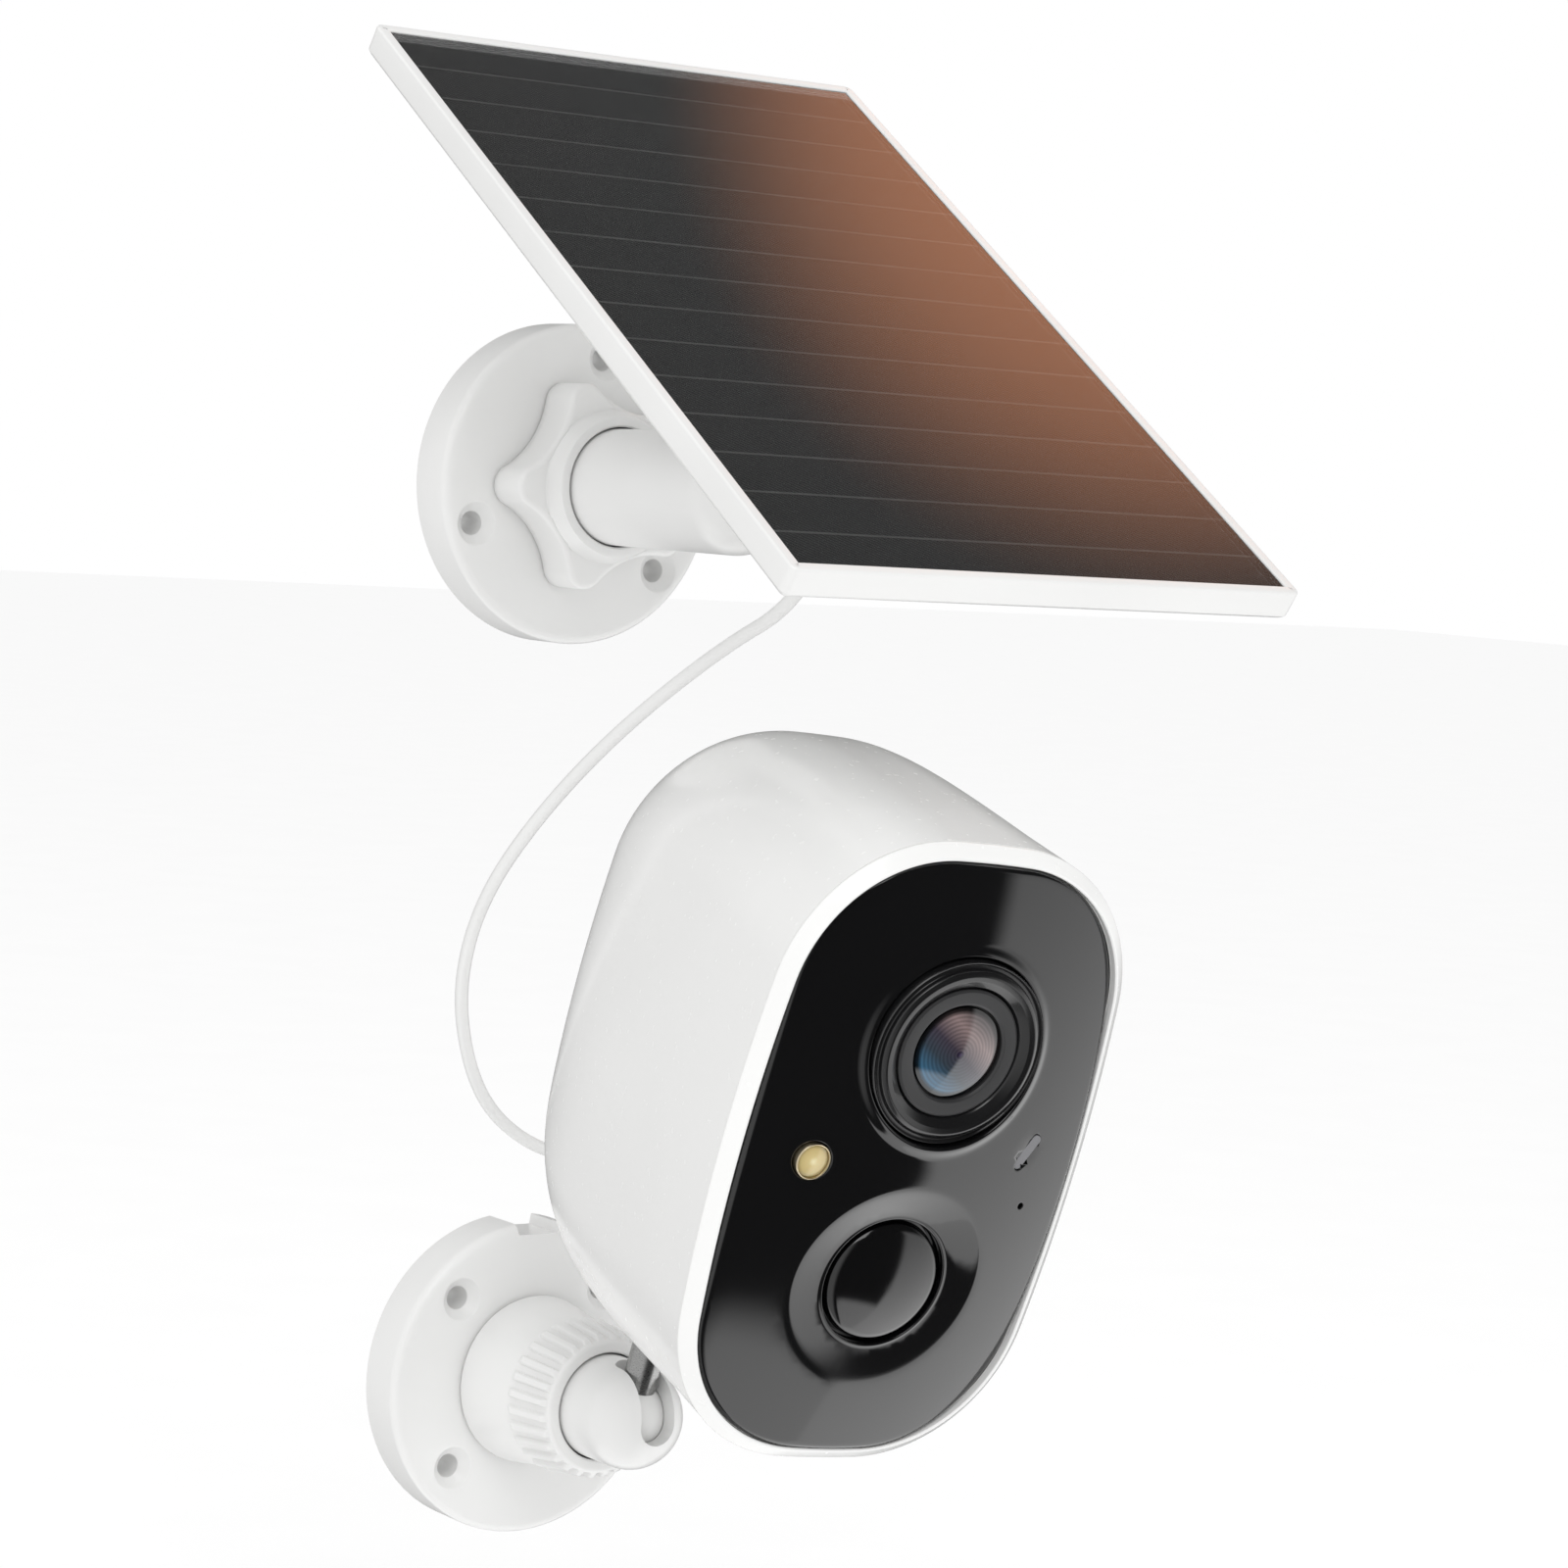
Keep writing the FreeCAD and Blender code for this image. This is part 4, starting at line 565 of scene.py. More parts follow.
def slabFromPlan(name, place, loops, rings, extra, front, back, material, body, replaced, sharp):
    # a flat plan is triangulated between its loops and rings, then the front and the back skins follow two
    # height formulas and walls join them along every loop
    plan = np.vstack(loops + rings + [extra])
    edges = ringEdges(loops + rings, 0)
    verts, _, tris, _, _, _ = delaunay_2d_cdt([Vector(p) for p in plan], edges, [], 0, 1e-5)
    flat = np.array([tuple(v) for v in verts])
    tris = np.array(tris)
    middle = flat[tris].mean(1)
    keep = insideLoop(middle, loops[0])
    for hole in loops[1:]:
        keep &= ~insideLoop(middle, hole)
    tris = tris[keep]
    x, z = flat[:, 0], flat[:, 1]
    n = len(flat)
    top = np.stack([x, front(x, z), z], -1)
    low = np.stack([x, back(x, z), z], -1)
    directed = np.concatenate([tris[:, [0, 1]], tris[:, [1, 2]], tris[:, [2, 0]]])
    _, inverse, counts = np.unique(np.sort(directed, 1), axis=0, return_inverse=True, return_counts=True)
    rim = directed[counts[inverse.ravel()] == 1]
    walls = np.stack([rim[:, 1], rim[:, 0], rim[:, 0] + n, rim[:, 1] + n], -1)
    points = toWorld(place, np.vstack([top, low]))
    used = np.unique(np.concatenate([tris.ravel(), tris.ravel() + n]))
    renumber = np.zeros(len(points), int)
    renumber[used] = np.arange(len(used))
    faces = renumber[tris].tolist() + renumber[tris[:, ::-1] + n].tolist() + renumber[walls].tolist()
    points = points[used]
    return buildPiece(name, points, outwards(points, faces), material, body, replaced, sharp)


def circle(cx, cz, r, count):
    # centre plus radius times cosine and sine
    t = np.linspace(0, 2 * math.pi, count, endpoint=False)
    return np.stack([cx + r * np.cos(t), cz + r * np.sin(t)], -1)


def fillingPoints(loops, pitch, gap):
    # evenly spaced points in the box of the loops, apart from those too near to a loop
    allPoints = np.vstack(loops)
    lo, hi = allPoints.min(0), allPoints.max(0)
    x, z = np.meshgrid(np.arange(lo[0], hi[0], pitch), np.arange(lo[1], hi[1], pitch * 0.866))
    x = x + (np.arange(x.shape[0]) % 2)[:, None] * pitch / 2
    grid = np.stack([x.ravel(), z.ravel()], -1)
    near = np.min(np.linalg.norm(grid[:, None] - allPoints[None], axis=2), 1)
    return grid[near > gap]


def smooth(t):
    # a smooth step: 3 t squared less 2 t cubed
    t = np.clip(t, 0, 1)
    return t * t * (3 - 2 * t)


def carve(obj, tools):
    # each tool is cut out of the piece exactly, and the result becomes the piece's own mesh
    for tool in tools:
        cut = obj.modifiers.new("cut", "BOOLEAN")
        cut.operation = "DIFFERENCE"
        cut.solver = "EXACT"
        cut.object = tool
    bpy.context.view_layer.update()
    mesh = bpy.data.meshes.new_from_object(obj.evaluated_get(bpy.context.evaluated_depsgraph_get()))
    obj.modifiers.clear()
    mesh.name = obj.name
    obj.data = mesh
    mesh.polygons.foreach_set("use_smooth", np.ones(len(mesh.polygons), bool))
    mesh.set_sharp_from_angle(angle=math.radians(30))
    for tool in tools:
        bpy.data.objects.remove(tool)


# cable
cable = {"radius": 1.15, "route": [
    (-12.0, -95.26, 148.37), (-12.0, -90.85, 141.70), (-18.0, -80.0, 134.0), (-25.0, -63.0, 119.6),
    (-28.6, -46.0, 104.0), (-28.7, -30.0, 88.3), (-24.2, -17.0, 72.5), (-17.2, -9.3, 58.3),
    (-9.6, -5.5, 47.8), (-1.2, -6.6, 41.4), (4.2, -12.0, 39.9), (5.08, -20.2, 41.99),
    (4.682, -28.19, 44.744)]}


def addCable():
    # a round tube along one smooth curve through the route
    curve = bpy.data.curves.new("solarCable", "CURVE")
    curve.dimensions = "3D"
    curve.bevel_depth = cable["radius"] * mm
    curve.bevel_resolution = 6
    curve.resolution_u = 16
    curve.use_fill_caps = True
    spline = curve.splines.new("NURBS")
    spline.points.add(len(cable["route"]) - 1)
    for point, place in zip(spline.points, cable["route"]):
        point.co = (*(v * mm for v in place), 1.0)
    spline.order_u = 3
    spline.use_endpoint_u = True
    obj = bpy.data.objects.new("solarCable", curve)
    bpy.context.scene.collection.objects.link(obj)
    curve.materials.append(cableSkin)
    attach(obj, "wall_mounts")
    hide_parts("solar_cable")
    addBoot()


# plug boot: a rounded block that becomes a round, ribbed strain relief
boot = {"halfW": 6.2, "halfH": 3.7, "power": 5.0, "from": -2.4, "block": 3.5, "end": 14.0, "rootR": 3.3,
        "tipR": 1.7, "ribs": 5, "ribDepth": 0.28}


def roundBox(halfW, halfH, power, count):
    # a superellipse sampled by angle, so that it can be blended into a circle
    t = np.linspace(0, 2 * math.pi, count, endpoint=False)
    c, s = np.cos(t), np.sin(t)
    r = (np.abs(c / halfW) ** power + np.abs(s / halfH) ** power) ** (-1 / power)
    return np.stack([r * c, r * s], -1)


def addBoot():
    # rings that blend from a block to a cone, less a cosine groove for each rib
    count = 96
    b = boot
    block = roundBox(b["halfW"], b["halfH"], b["power"], count)
    rounds = circle(0, 0, 1.0, count)
    z = np.concatenate([[b["from"], b["from"] + 0.15], np.linspace(b["from"] + 0.5, b["block"] - 0.9, 6),
                        np.linspace(b["block"] - 0.6, b["block"] + 1.0, 9),
                        np.linspace(b["block"] + 1.3, b["end"], 60)])
    share = smooth((z - b["block"] + 0.6) / 1.6)[:, None, None]
    cone = b["rootR"] + (b["tipR"] - b["rootR"]) * np.clip((z - b["block"]) / (b["end"] - b["block"]), 0, 1)
    wave = np.clip((z - b["block"] - 2.0) / (b["end"] - b["block"] - 3.0), 0, 1)
    groove = b["ribDepth"] * (0.5 - 0.5 * np.cos(2 * math.pi * b["ribs"] * wave)) * (wave > 0) * (wave < 1)
    cone = (cone - groove)[:, None, None]
    shrink = np.ones_like(z)
    shrink[0] = 0.96
    ring = block[None] * shrink[:, None, None] * (1 - share) + rounds[None] * cone * share
    rows = np.concatenate([ring, np.broadcast_to(z[:, None, None], ring.shape[:2] + (1,))], -1)
    flat, faces = closeRows(rows, True, True)
    points = toWorld(portFrame, flat)
    return buildPiece("plugBoot", points, outwards(points, faces), bootRubber, "plug", ("plug_boot",))


# body shell
shell = {"depth": 75.0, "band": 2.5, "taper": 0.2, "flare": 0.04, "sidePower": 8.0, "endPower": 4.8,
         "back": 0.9965, "start": 1.5, "wall": 7.0, "cutAngle": 56.0, "cutReach": 71.77, "edgeSoftness": 0.7}


def bodyRows(depths, inset):
    # sections of the plate's outline whose width and height follow power curves of the depth
    s = shell
    t = np.minimum(depths / s["depth"], 1.0) * s["back"]
    side = (1 - t ** s["sidePower"]) ** (1 / s["sidePower"]) * (1 - s["taper"] * t)
    end = (1 - t ** s["endPower"]) ** (1 / s["endPower"]) * (1 + s["flare"] * t)
    w = (plate["halfW"] + s["band"]) * side - inset
    h = (plate["halfH"] + s["band"]) * end - inset
    r = np.minimum(plate["cornerR"] + s["band"] - inset, np.minimum(0.82 * w, 0.8 * h))
    ring = outlinePoints(w, h, r, plate["sideR"], plate["endR"])
    y = np.broadcast_to(depths[:, None], ring.shape[:2])
    return np.stack([ring[..., 0], y, ring[..., 1]], -1)


def flattenRear(points, reach):
    # points past the rear-bottom flat are moved back onto it, with a soft edge
    a = math.radians(shell["cutAngle"])
    n = np.array([0, math.sin(a), -math.cos(a)])
    past = points @ n - reach
    k = shell["edgeSoftness"]
    push = k * np.logaddexp(0, past / k)
    return points - push[..., None] * n


def addShell():
    # rows of outlines from the inside out: hollow, lip, outer skin and closed rear
    s = shell
    lead = np.array([0.0, 0.12, 0.35, 0.7]) + s["start"]
    depths = np.concatenate([lead, s["depth"] * (1 - np.linspace(1 - 2.6 / s["depth"], 0, 74) ** 1.9)])
    depths = np.sort(np.clip(depths, s["start"], s["depth"]))
    outer = bodyRows(depths, 0)
    lip = bodyRows(np.full(3, s["start"]), 0)
    for i, (shift, off) in enumerate(((0.0, -s["wall"] + 4.9), (0.0, -1.2), (0.05, -0.35))):
        ring = outlinePoints(plate["halfW"] + s["band"] + off, plate["halfH"] + s["band"] + off,
                             plate["cornerR"] + s["band"] + off, plate["sideR"], plate["endR"])
        lip[i] = np.stack([ring[:, 0], np.full(len(ring), s["start"] + shift), ring[:, 1]], -1)
    outer[0] = outer[0] * 0.35 + lip[2] * 0.65
    tail = [outer[-1] * f + outer[-1].mean(0) * (1 - f) for f in (0.97, 0.85, 0.6, 0.3)]
    rows = np.concatenate([outer, np.array(tail)])
    rows = flattenRear(rows, s["cutReach"])
    innerDepths = np.linspace(s["start"] + 6, s["depth"] - s["wall"] * 1.6, 24)
    innerMouth = bodyRows(np.array([s["start"] + 0.2, s["start"] + 5.9]), 2.2)
    inner = bodyRows(innerDepths, s["wall"])
    inner = flattenRear(np.concatenate([innerMouth, inner]), s["cutReach"] - s["wall"] * 1.7)
    all_ = np.concatenate([inner[::-1], lip[:2], rows])
    flat, faces = closeRows(all_, True, True)
    points = toWorld(cameraFrame, flat)
    obj = buildPiece("bodyShell", points, outwards(points, faces), whiteBody, None)
    tools = shellTools()
    carve(obj, tools)
    finishPiece(obj, "camera", ("rear_shell",))


def prism(name, ring, place, z0, z1):
    # a ring of points in the place's XY plane, drawn out along its Z
    low = np.concatenate([ring, np.full((len(ring), 1), z0)], -1)
    high = np.concatenate([ring, np.full((len(ring), 1), z1)], -1)
    flat, faces = closeRows(np.stack([low, high]), True, True)
    points = toWorld(place, flat)
    return buildPiece(name, points, outwards(points, faces), whiteBody, None)


def shellTools():
    # what is cut out of the shell: port recess, socket, button hole, pocket, speaker holes
    pocketPlace = partFrame(toWorld(cameraFrame, (0, 56.0, 0)), camX, camY, camZ)
    socket = roundBox(5.0, 2.2, boot["power"], 48)
    recess = rounded([(6.5, 4.0, 1.5), (-6.5, 4.0, 1.5), (-6.5, -4.0, 1.5), (6.5, -4.0, 1.5)], 8)
    button = circle(14.5, 0, 3.2, 48)
    tools = [prism("recessTool", recess, portFrame, -2.5, 12),
             prism("socketTool", socket, portFrame, -5.5, 0),
             prism("buttonTool", button, portFrame, -8.6, 12),
             prism("pocketTool", circle(0, 0, 8.1, 72), pocketPlace, -90, -46)]
    for i in range(7):
        a = math.radians(60 * i)
        r = 4.0 if i < 6 else 0.0
        hole = circle(r * math.cos(a), 24.0 - 56.0 + r * math.sin(a), 0.8, 20)
        tools.append(prism("speakerTool", hole, pocketPlace, -56, -48))
    return tools


# white frame round the plate
def sweepPiece(name, ring, corners, place, material, body, replaced, steps=6):
    # a rounded profile (offset outwards, depth) carried round an outline with its normals
    profile = rounded(corners, steps)
    x = ring[None, :, 0] + profile[:, :1] * ring[None, :, 2]
    z = ring[None, :, 1] + profile[:, :1] * ring[None, :, 3]
    y = np.broadcast_to(profile[:, 1:], x.shape)
    flat, faces = closeRows(np.stack([x, y, z], -1), False, False)
    points = toWorld(place, flat)
    return buildPiece(name, points, outwards(points, faces), material, body, replaced)


bezel = {"corners": [(0.0, 0.45, 0.1), (0.0, -0.75, 0.2), (0.35, -1.0, 0.3), (2.5, 1.0, 0.6),
                     (2.5, 1.4, 0.15), (-1.0, 1.4, 0.1), (-1.0, 9.0, 0.2), (-2.4, 9.0, 0.2),
                     (-2.4, 2.1, 0.2), (-7.0, 2.1, 0.2), (-7.0, 0.6, 0.2), (0.0, 0.6, 0.02)]}


def plateRing(perArc=(16, 44, 16)):
    # the plate's own outline
    return outlinePoints(plate["halfW"], plate["halfH"], plate["cornerR"], plate["sideR"], plate["endR"],
                         perArc)


# front plate
window = {"slack": 0.15, "edgeR": 0.9, "thick": 2.0, "seat": 0.5, "lensZ": 20.4, "lensR": 15.5,
          "lipRise": 0.75, "lipOut": 2.3, "dishZ": -19.6, "dishR": 17.0, "dishHoleR": 10.8,
          "dishDepth": -3.0, "ledX": -19.9,
          "ledZ": 0.6, "ledR": 3.1, "pillX": 19.3, "pillZ": 4.2, "pillHalf": 2.4, "pillR": 0.9,
          "pillLean": 27.0, "micX": 21.4, "micZ": -5.2, "micR": 0.55}


def plateFront(x, z):
    # depth of the front skin: the crown, plus what each opening adds to it
    w = window
    y = crownY(x, z)
    # raised lip round the lens opening, then its inner edge rounded off
    r = np.hypot(x, z - w["lensZ"])
    y = y - w["lipRise"] * smooth((w["lensR"] + w["lipOut"] - r) / w["lipOut"])
    y = y + edgeDrop(r - w["lensR"], 0.5)
    # the sensor's dish is a cone from its opening to a rim on the crown
    dx, dz = x, z - w["dishZ"]
    r = np.maximum(np.hypot(dx, dz), 1e-6)
    rimY = crownY(dx / r * w["dishR"], w["dishZ"] + dz / r * w["dishR"])
    cone = w["dishDepth"] + (rimY - w["dishDepth"]) * (r - w["dishHoleR"]) / (w["dishR"] - w["dishHoleR"])
    soft = 0.12
    y = soft * np.logaddexp(y / soft, np.where(r < w["dishR"] * 1.6, cone, -99) / soft)
    y = y - 0.3 * smooth(1 - (r - w["dishHoleR"]) / 0.8) + edgeDrop(r - w["dishHoleR"], 0.35)
    for cx, cz, radius, fillet in ((w["ledX"], w["ledZ"], w["ledR"], 0.3),
                                   (w["micX"], w["micZ"], w["micR"], 0.15)):
        y = y + edgeDrop(np.hypot(x - cx, z - cz) - radius, fillet)
    lean = math.radians(w["pillLean"])
    u = (x - w["pillX"]) * math.sin(lean) + (z - w["pillZ"]) * math.cos(lean)
    v = (x - w["pillX"]) * math.cos(lean) - (z - w["pillZ"]) * math.sin(lean)
    y = y + edgeDrop(np.hypot(np.maximum(np.abs(u) - w["pillHalf"], 0), v) - w["pillR"], 0.2)
    return y + edgeDrop(edgeDistance(x, z), w["edgeR"])


def edgeDrop(distance, radius):
    # a quarter-round edge: zero past its radius, and falling to the radius at the edge itself
    d = np.clip(distance, 0, radius)
    return radius - np.sqrt(np.maximum(radius ** 2 - (radius - d) ** 2, 0))


def edgeDistance(x, z):
    # how far a point is inside the outline, along the nearest normal
    ring = plateRing((20, 60, 20))
    edge = ring[:, :2] - window["slack"] * ring[:, 2:]
    p = np.stack([x, z], -1)
    nearest = np.argmin(np.linalg.norm(p[:, None] - edge[None], axis=2), 1)
    return np.maximum(np.sum((edge[nearest] - p) * ring[nearest, 2:], 1), 0)


def plateBack(x, z):
    # depth of the back skin: a thickness behind the crown, but no deeper than the seat
    y = np.minimum(crownY(x, z) + window["thick"], window["seat"])
    return np.maximum(y, np.minimum(plateFront(x, z) + 0.9, window["seat"]))


def addWindow():
    # the front window with its openings
    w = window
    ring = plateRing()

    def inset(d):
        return ring[:, :2] - (w["slack"] + d) * ring[:, 2:]

    lean = math.radians(w["pillLean"])
    t = np.linspace(0, 2 * math.pi, 40, endpoint=False)

    def pillLoop(r):
        u = np.sign(np.cos(t)) * w["pillHalf"] + r * np.cos(t)
        v = r * np.sin(t)
        return np.stack([w["pillX"] + u * math.sin(lean) + v * math.cos(lean),
                         w["pillZ"] + u * math.cos(lean) - v * math.sin(lean)], -1)

    loops = [inset(0), circle(0, w["lensZ"], w["lensR"], 128), circle(0, w["dishZ"], w["dishHoleR"], 110),
             circle(w["ledX"], w["ledZ"], w["ledR"], 56), circle(w["micX"], w["micZ"], w["micR"], 24),
             pillLoop(w["pillR"])]
    rings = [inset(d) for d in (0.06, 0.2, 0.42, 0.7, 0.95, 1.5)]
    rings += [circle(0, w["lensZ"], w["lensR"] + d, 128)
              for d in (0.04, 0.13, 0.28, 0.5, 0.9, 1.3, 1.7, 2.1, 2.5)]
    rings += [circle(0, w["dishZ"], w["dishHoleR"] + d, 110) for d in (0.04, 0.12, 0.24, 0.38, 0.6, 0.85)]
    rings += [circle(0, w["dishZ"], w["dishR"] + d, 150)
              for d in (-2.4, -1.2, -0.5, -0.2, 0.0, 0.2, 0.5, 1.0)]
    rings += [circle(w["ledX"], w["ledZ"], w["ledR"] + d, 56) for d in (0.04, 0.12, 0.22, 0.34, 0.7)]
    rings += [circle(w["micX"], w["micZ"], w["micR"] + d, 24) for d in (0.03, 0.09, 0.16, 0.3)]
    rings += [pillLoop(w["pillR"] + d) for d in (0.03, 0.09, 0.21, 0.4)]
    extra = fillingPoints(loops + rings, 1.5, 0.55)
    return slabFromPlan("frontWindow", cameraFrame, loops, rings, extra, plateFront, plateBack,
                        blackPlate, "camera", ("front_plate",), sharp=50)


# wall plates
wallPlate = {"r": 28.0, "thick": 9.4, "edge": 1.6, "wall": 2.4, "floor": 3.2, "holeR": 2.1, "headR": 3.7,
             "lowerCircle": 21.2, "lowerCount": 4, "lowerStart": 45.0, "upperCircle": 22.5, "upperCount": 3,
             "upperStart": 80.0, "notchHalf": 4.0, "notchFloor": 25.8}


def addWallPlate(name, place, circleR, count, start, postR, postEnd, notch, replaced):
    # a disc with countersunk holes on a circle, a post in the middle and a hollow back
    w = wallPlate
    a = np.radians(start + 360.0 * np.arange(count) / count)
    holes = np.stack([circleR * np.cos(a), circleR * np.sin(a)], -1)

    def holeDistance(x, z):
        return np.min(np.hypot(x[:, None] - holes[:, 0], z[:, None] - holes[:, 1]), 1)

    def front(x, z):
        r = np.hypot(x, z)
        y = -w["thick"] + edgeDrop(w["r"] - r, w["edge"])
        rim = holeDistance(x, z)
        y = y + np.clip(w["headR"] - rim, 0, w["headR"] - w["holeR"])
        y = y + 0.25 * smooth((w["headR"] + 0.3 - rim) / 0.6)
        return np.where(r < postR, -postEnd, y)

    def back(x, z):
        r = np.hypot(x, z)
        hollow = (r < w["r"] - w["wall"]) & (r > postR) & (holeDistance(x, z) > w["headR"])
        core = r < postR - 3.4
        return np.where(core, 3.0 - postEnd, np.where(hollow, w["floor"] - w["thick"], 0.0))

    outer = circle(0, 0, w["r"], 200)
    if notch:
        inNotch = (np.abs(outer[:, 0]) < w["notchHalf"]) & (outer[:, 1] > 0)
        order = np.roll(np.arange(200), -int(np.argmax(inNotch)))
        outer = outer[order][~inNotch[order]]
        h, f = w["notchHalf"], w["notchFloor"]
        t = np.linspace(1, -1, 9)
        outer = np.vstack([outer, np.stack([t * h, np.full(9, f)], -1)]) if outer[-1, 0] > 0 else outer
    loops = [outer] + [circle(x, z, w["holeR"], 40) for x, z in holes]
    rings = [circle(0, 0, w["r"] - d, 200) for d in (0.06, 0.2, 0.45, 0.8, 1.2, 1.6, 2.39, 2.41)]
    rings += [circle(0, 0, postR + d, 96) for d in (-3.41, -3.39, -0.01, 0.01)]
    rings += [circle(x, z, r, 40) for x, z in holes for r in (2.5, 3.0, 3.4, 3.69, 3.71, 4.0)]
    if notch:
        wide, deep = w["notchHalf"] + 0.1, w["notchFloor"] - 0.1
        rings = [r[~((np.abs(r[:, 0]) < wide) & (r[:, 1] > deep))] for r in rings]
    extra = fillingPoints(loops + rings, 2.2, 0.8)
    return slabFromPlan(name, place, loops, rings, extra, front, back, whiteBracket, "wall_mounts",
                        replaced, sharp=40)


# clamp knob with ribs
knob = {"rear": 9.7, "front": 33.9, "rearR": 15.06, "frontR": 11.65, "bore": 10.7, "lipBore": 9.4,
        "lip": 28.8, "ribs": 28, "ribLong": 11.0, "ribHigh": 0.85, "ribWide": 1.25}


def addKnob():
    # a turned cone whose front half carries raised ribs
    k = knob
    profile = rounded([(k["bore"], k["rear"], 0.3), (k["rearR"], k["rear"], 0.9),
                       (k["frontR"], k["front"], 0.9), (k["lipBore"], k["front"], 0.5),
                       (k["lipBore"], k["lip"], 0.1), (k["bore"], k["lip"], 0.1)], 8)
    # extra rings along the cone carry the ribs
    cone = np.linspace(0, 1, 60)[1:-1, None]
    start, end = profile[17], profile[18]
    profile = np.vstack([profile[:18], start + (end - start) * cone, profile[18:]])
    count = k["ribs"] * 20
    rows = spunRows(profile, count)
    t = np.linspace(0, 2 * math.pi, count, endpoint=False)
    pitch = 2 * math.pi / k["ribs"]
    arc = (np.abs((t / pitch) % 1.0 - 0.5)) * pitch * k["frontR"]
    ridge = smooth((k["ribWide"] / 2 + 0.18 - arc) / 0.36)
    d = profile[:, 1]
    outside = profile[:, 0] > k["bore"] + 0.6
    rise = smooth((d - (k["front"] - k["ribLong"])) / 1.6) * smooth((k["front"] - 0.45 - d) / 0.7) * outside
    high = rise[:, None] * ridge[None, :] * k["ribHigh"]
    rows[..., 0] += high * np.cos(t)
    rows[..., 2] += high * np.sin(t)
    flat, faces = closeRows(rows, False, False)
    points = toWorld(lowerWall, flat)
    return buildPiece("clampKnob", points, outwards(points, faces), whiteBracket, "camera_knob",
                      ("camera_clamp_knob",), 50)


# star knob
star = {"lobes": 5, "start": 39.0, "r": 18.5, "waist": 13.6, "lobeR": 3.6, "rear": 9.7, "front": 18.6,
        "edge": 1.1, "collar": 3.2, "collarR": 13.6, "collarFrontR": 12.2, "bore": 10.4,
        "cavity": 11.9, "lip": 17.4}


def starRing(inset, perLobe=36, perHollow=40):
    # round lobes joined by tangent hollows; an inset takes from the lobes and adds to the hollows
    s = star
    step = math.pi / s["lobes"]
    out = s["r"] - s["lobeR"]
    k = s["lobeR"] - s["waist"]
    hollowOut = (out * out - k * k) / (2 * (out * math.cos(step) + k))
    lobeR, hollowR = s["lobeR"] - inset, hollowOut - s["waist"] + inset
    # angle at a lobe's centre between its outward direction and the way to the hollow's centre
    toHollow = math.atan2(hollowOut * math.sin(step), hollowOut * math.cos(step) - out)
    atHollow = math.pi - math.atan2(out * math.sin(step), hollowOut - out * math.cos(step))
    points = []
    for i in range(s["lobes"]):
        a = math.radians(s["start"]) + 2 * step * i
        t = np.linspace(-toHollow, toHollow, perLobe, endpoint=False)
        points.append(np.stack([out * math.cos(a) + lobeR * np.cos(a + t),
                                out * math.sin(a) + lobeR * np.sin(a + t)], -1))
        b = a + step
        swing = math.pi - atHollow
        t = np.linspace(-swing, swing, perHollow, endpoint=False)
        points.append(np.stack([hollowOut * math.cos(b) - hollowR * np.cos(t * -1) * math.cos(b)
                                + hollowR * np.sin(t * -1) * math.sin(b),
                                hollowOut * math.sin(b) - hollowR * np.cos(t * -1) * math.sin(b)
                                - hollowR * np.sin(t * -1) * math.cos(b)], -1))
    return np.concatenate(points)


def addStar():
    # rings from the bore over the collar to the lobes and back
    s = star
    e = s["edge"]
    base = starRing(0)
    angle = np.arctan2(base[:, 1], base[:, 0])
    rows = []

    def addRow(ring, d):
        rows.append(np.stack([ring[:, 0], np.full(len(ring), -d), ring[:, 1]], -1))

    def roundRow(r, d):
        addRow(np.stack([r * np.cos(angle), r * np.sin(angle)], -1), d)

    for r, d in ((s["cavity"], s["rear"]), (s["cavity"], s["lip"]), (s["bore"], s["lip"])):
        roundRow(r, d)
    front = s["front"] + s["collar"]
    for r, d in ((s["bore"], front - 0.3), (s["bore"] + 0.3, front), (s["collarFrontR"] - 0.5, front),
                 (s["collarFrontR"] - 0.1, front - 0.15), (s["collarFrontR"], front - 0.5),
                 (s["collarR"] - 0.5, s["front"] + 0.5), (s["collarR"] - 0.42, s["front"] + 0.2)):
        roundRow(r, d)
    inner = np.stack([(s["collarR"] - 0.2) * np.cos(angle), (s["collarR"] - 0.2) * np.sin(angle)], -1)
    edgeRing = starRing(e)
    keep = np.minimum(np.hypot(inner[:, 0], inner[:, 1]), np.hypot(edgeRing[:, 0], edgeRing[:, 1]) - 0.02)
    inner = inner / np.hypot(inner[:, 0], inner[:, 1])[:, None] * keep[:, None]
    for f in (0.0, 0.35, 0.7, 1.0):
        addRow(inner * (1 - f) + edgeRing * f, s["front"])
    for t in np.linspace(0.15, math.pi / 2, 6):
        addRow(starRing(e * (1 - math.sin(t))), s["front"] - e * (1 - math.cos(t)))
    for f in np.linspace(0.2, 1.0, 5):
        addRow(starRing(0), s["front"] - e + (s["rear"] + 0.4 - s["front"] + e) * f)
    addRow(starRing(0.3), s["rear"])
    flat, faces = closeRows(np.array(rows), False, False)
    points = toWorld(upperWall, flat)
    return buildPiece("starKnob", points, outwards(points, faces), whiteBracket, "panel_knob",
                      ("panel_star_knob",), 40)


# panel tray
tray = {"halfW": 49.35, "halfH": 76.3, "corner": 1.5, "back": 33.0, "front": 38.6, "rim": 2.0, "floor": 1.8}


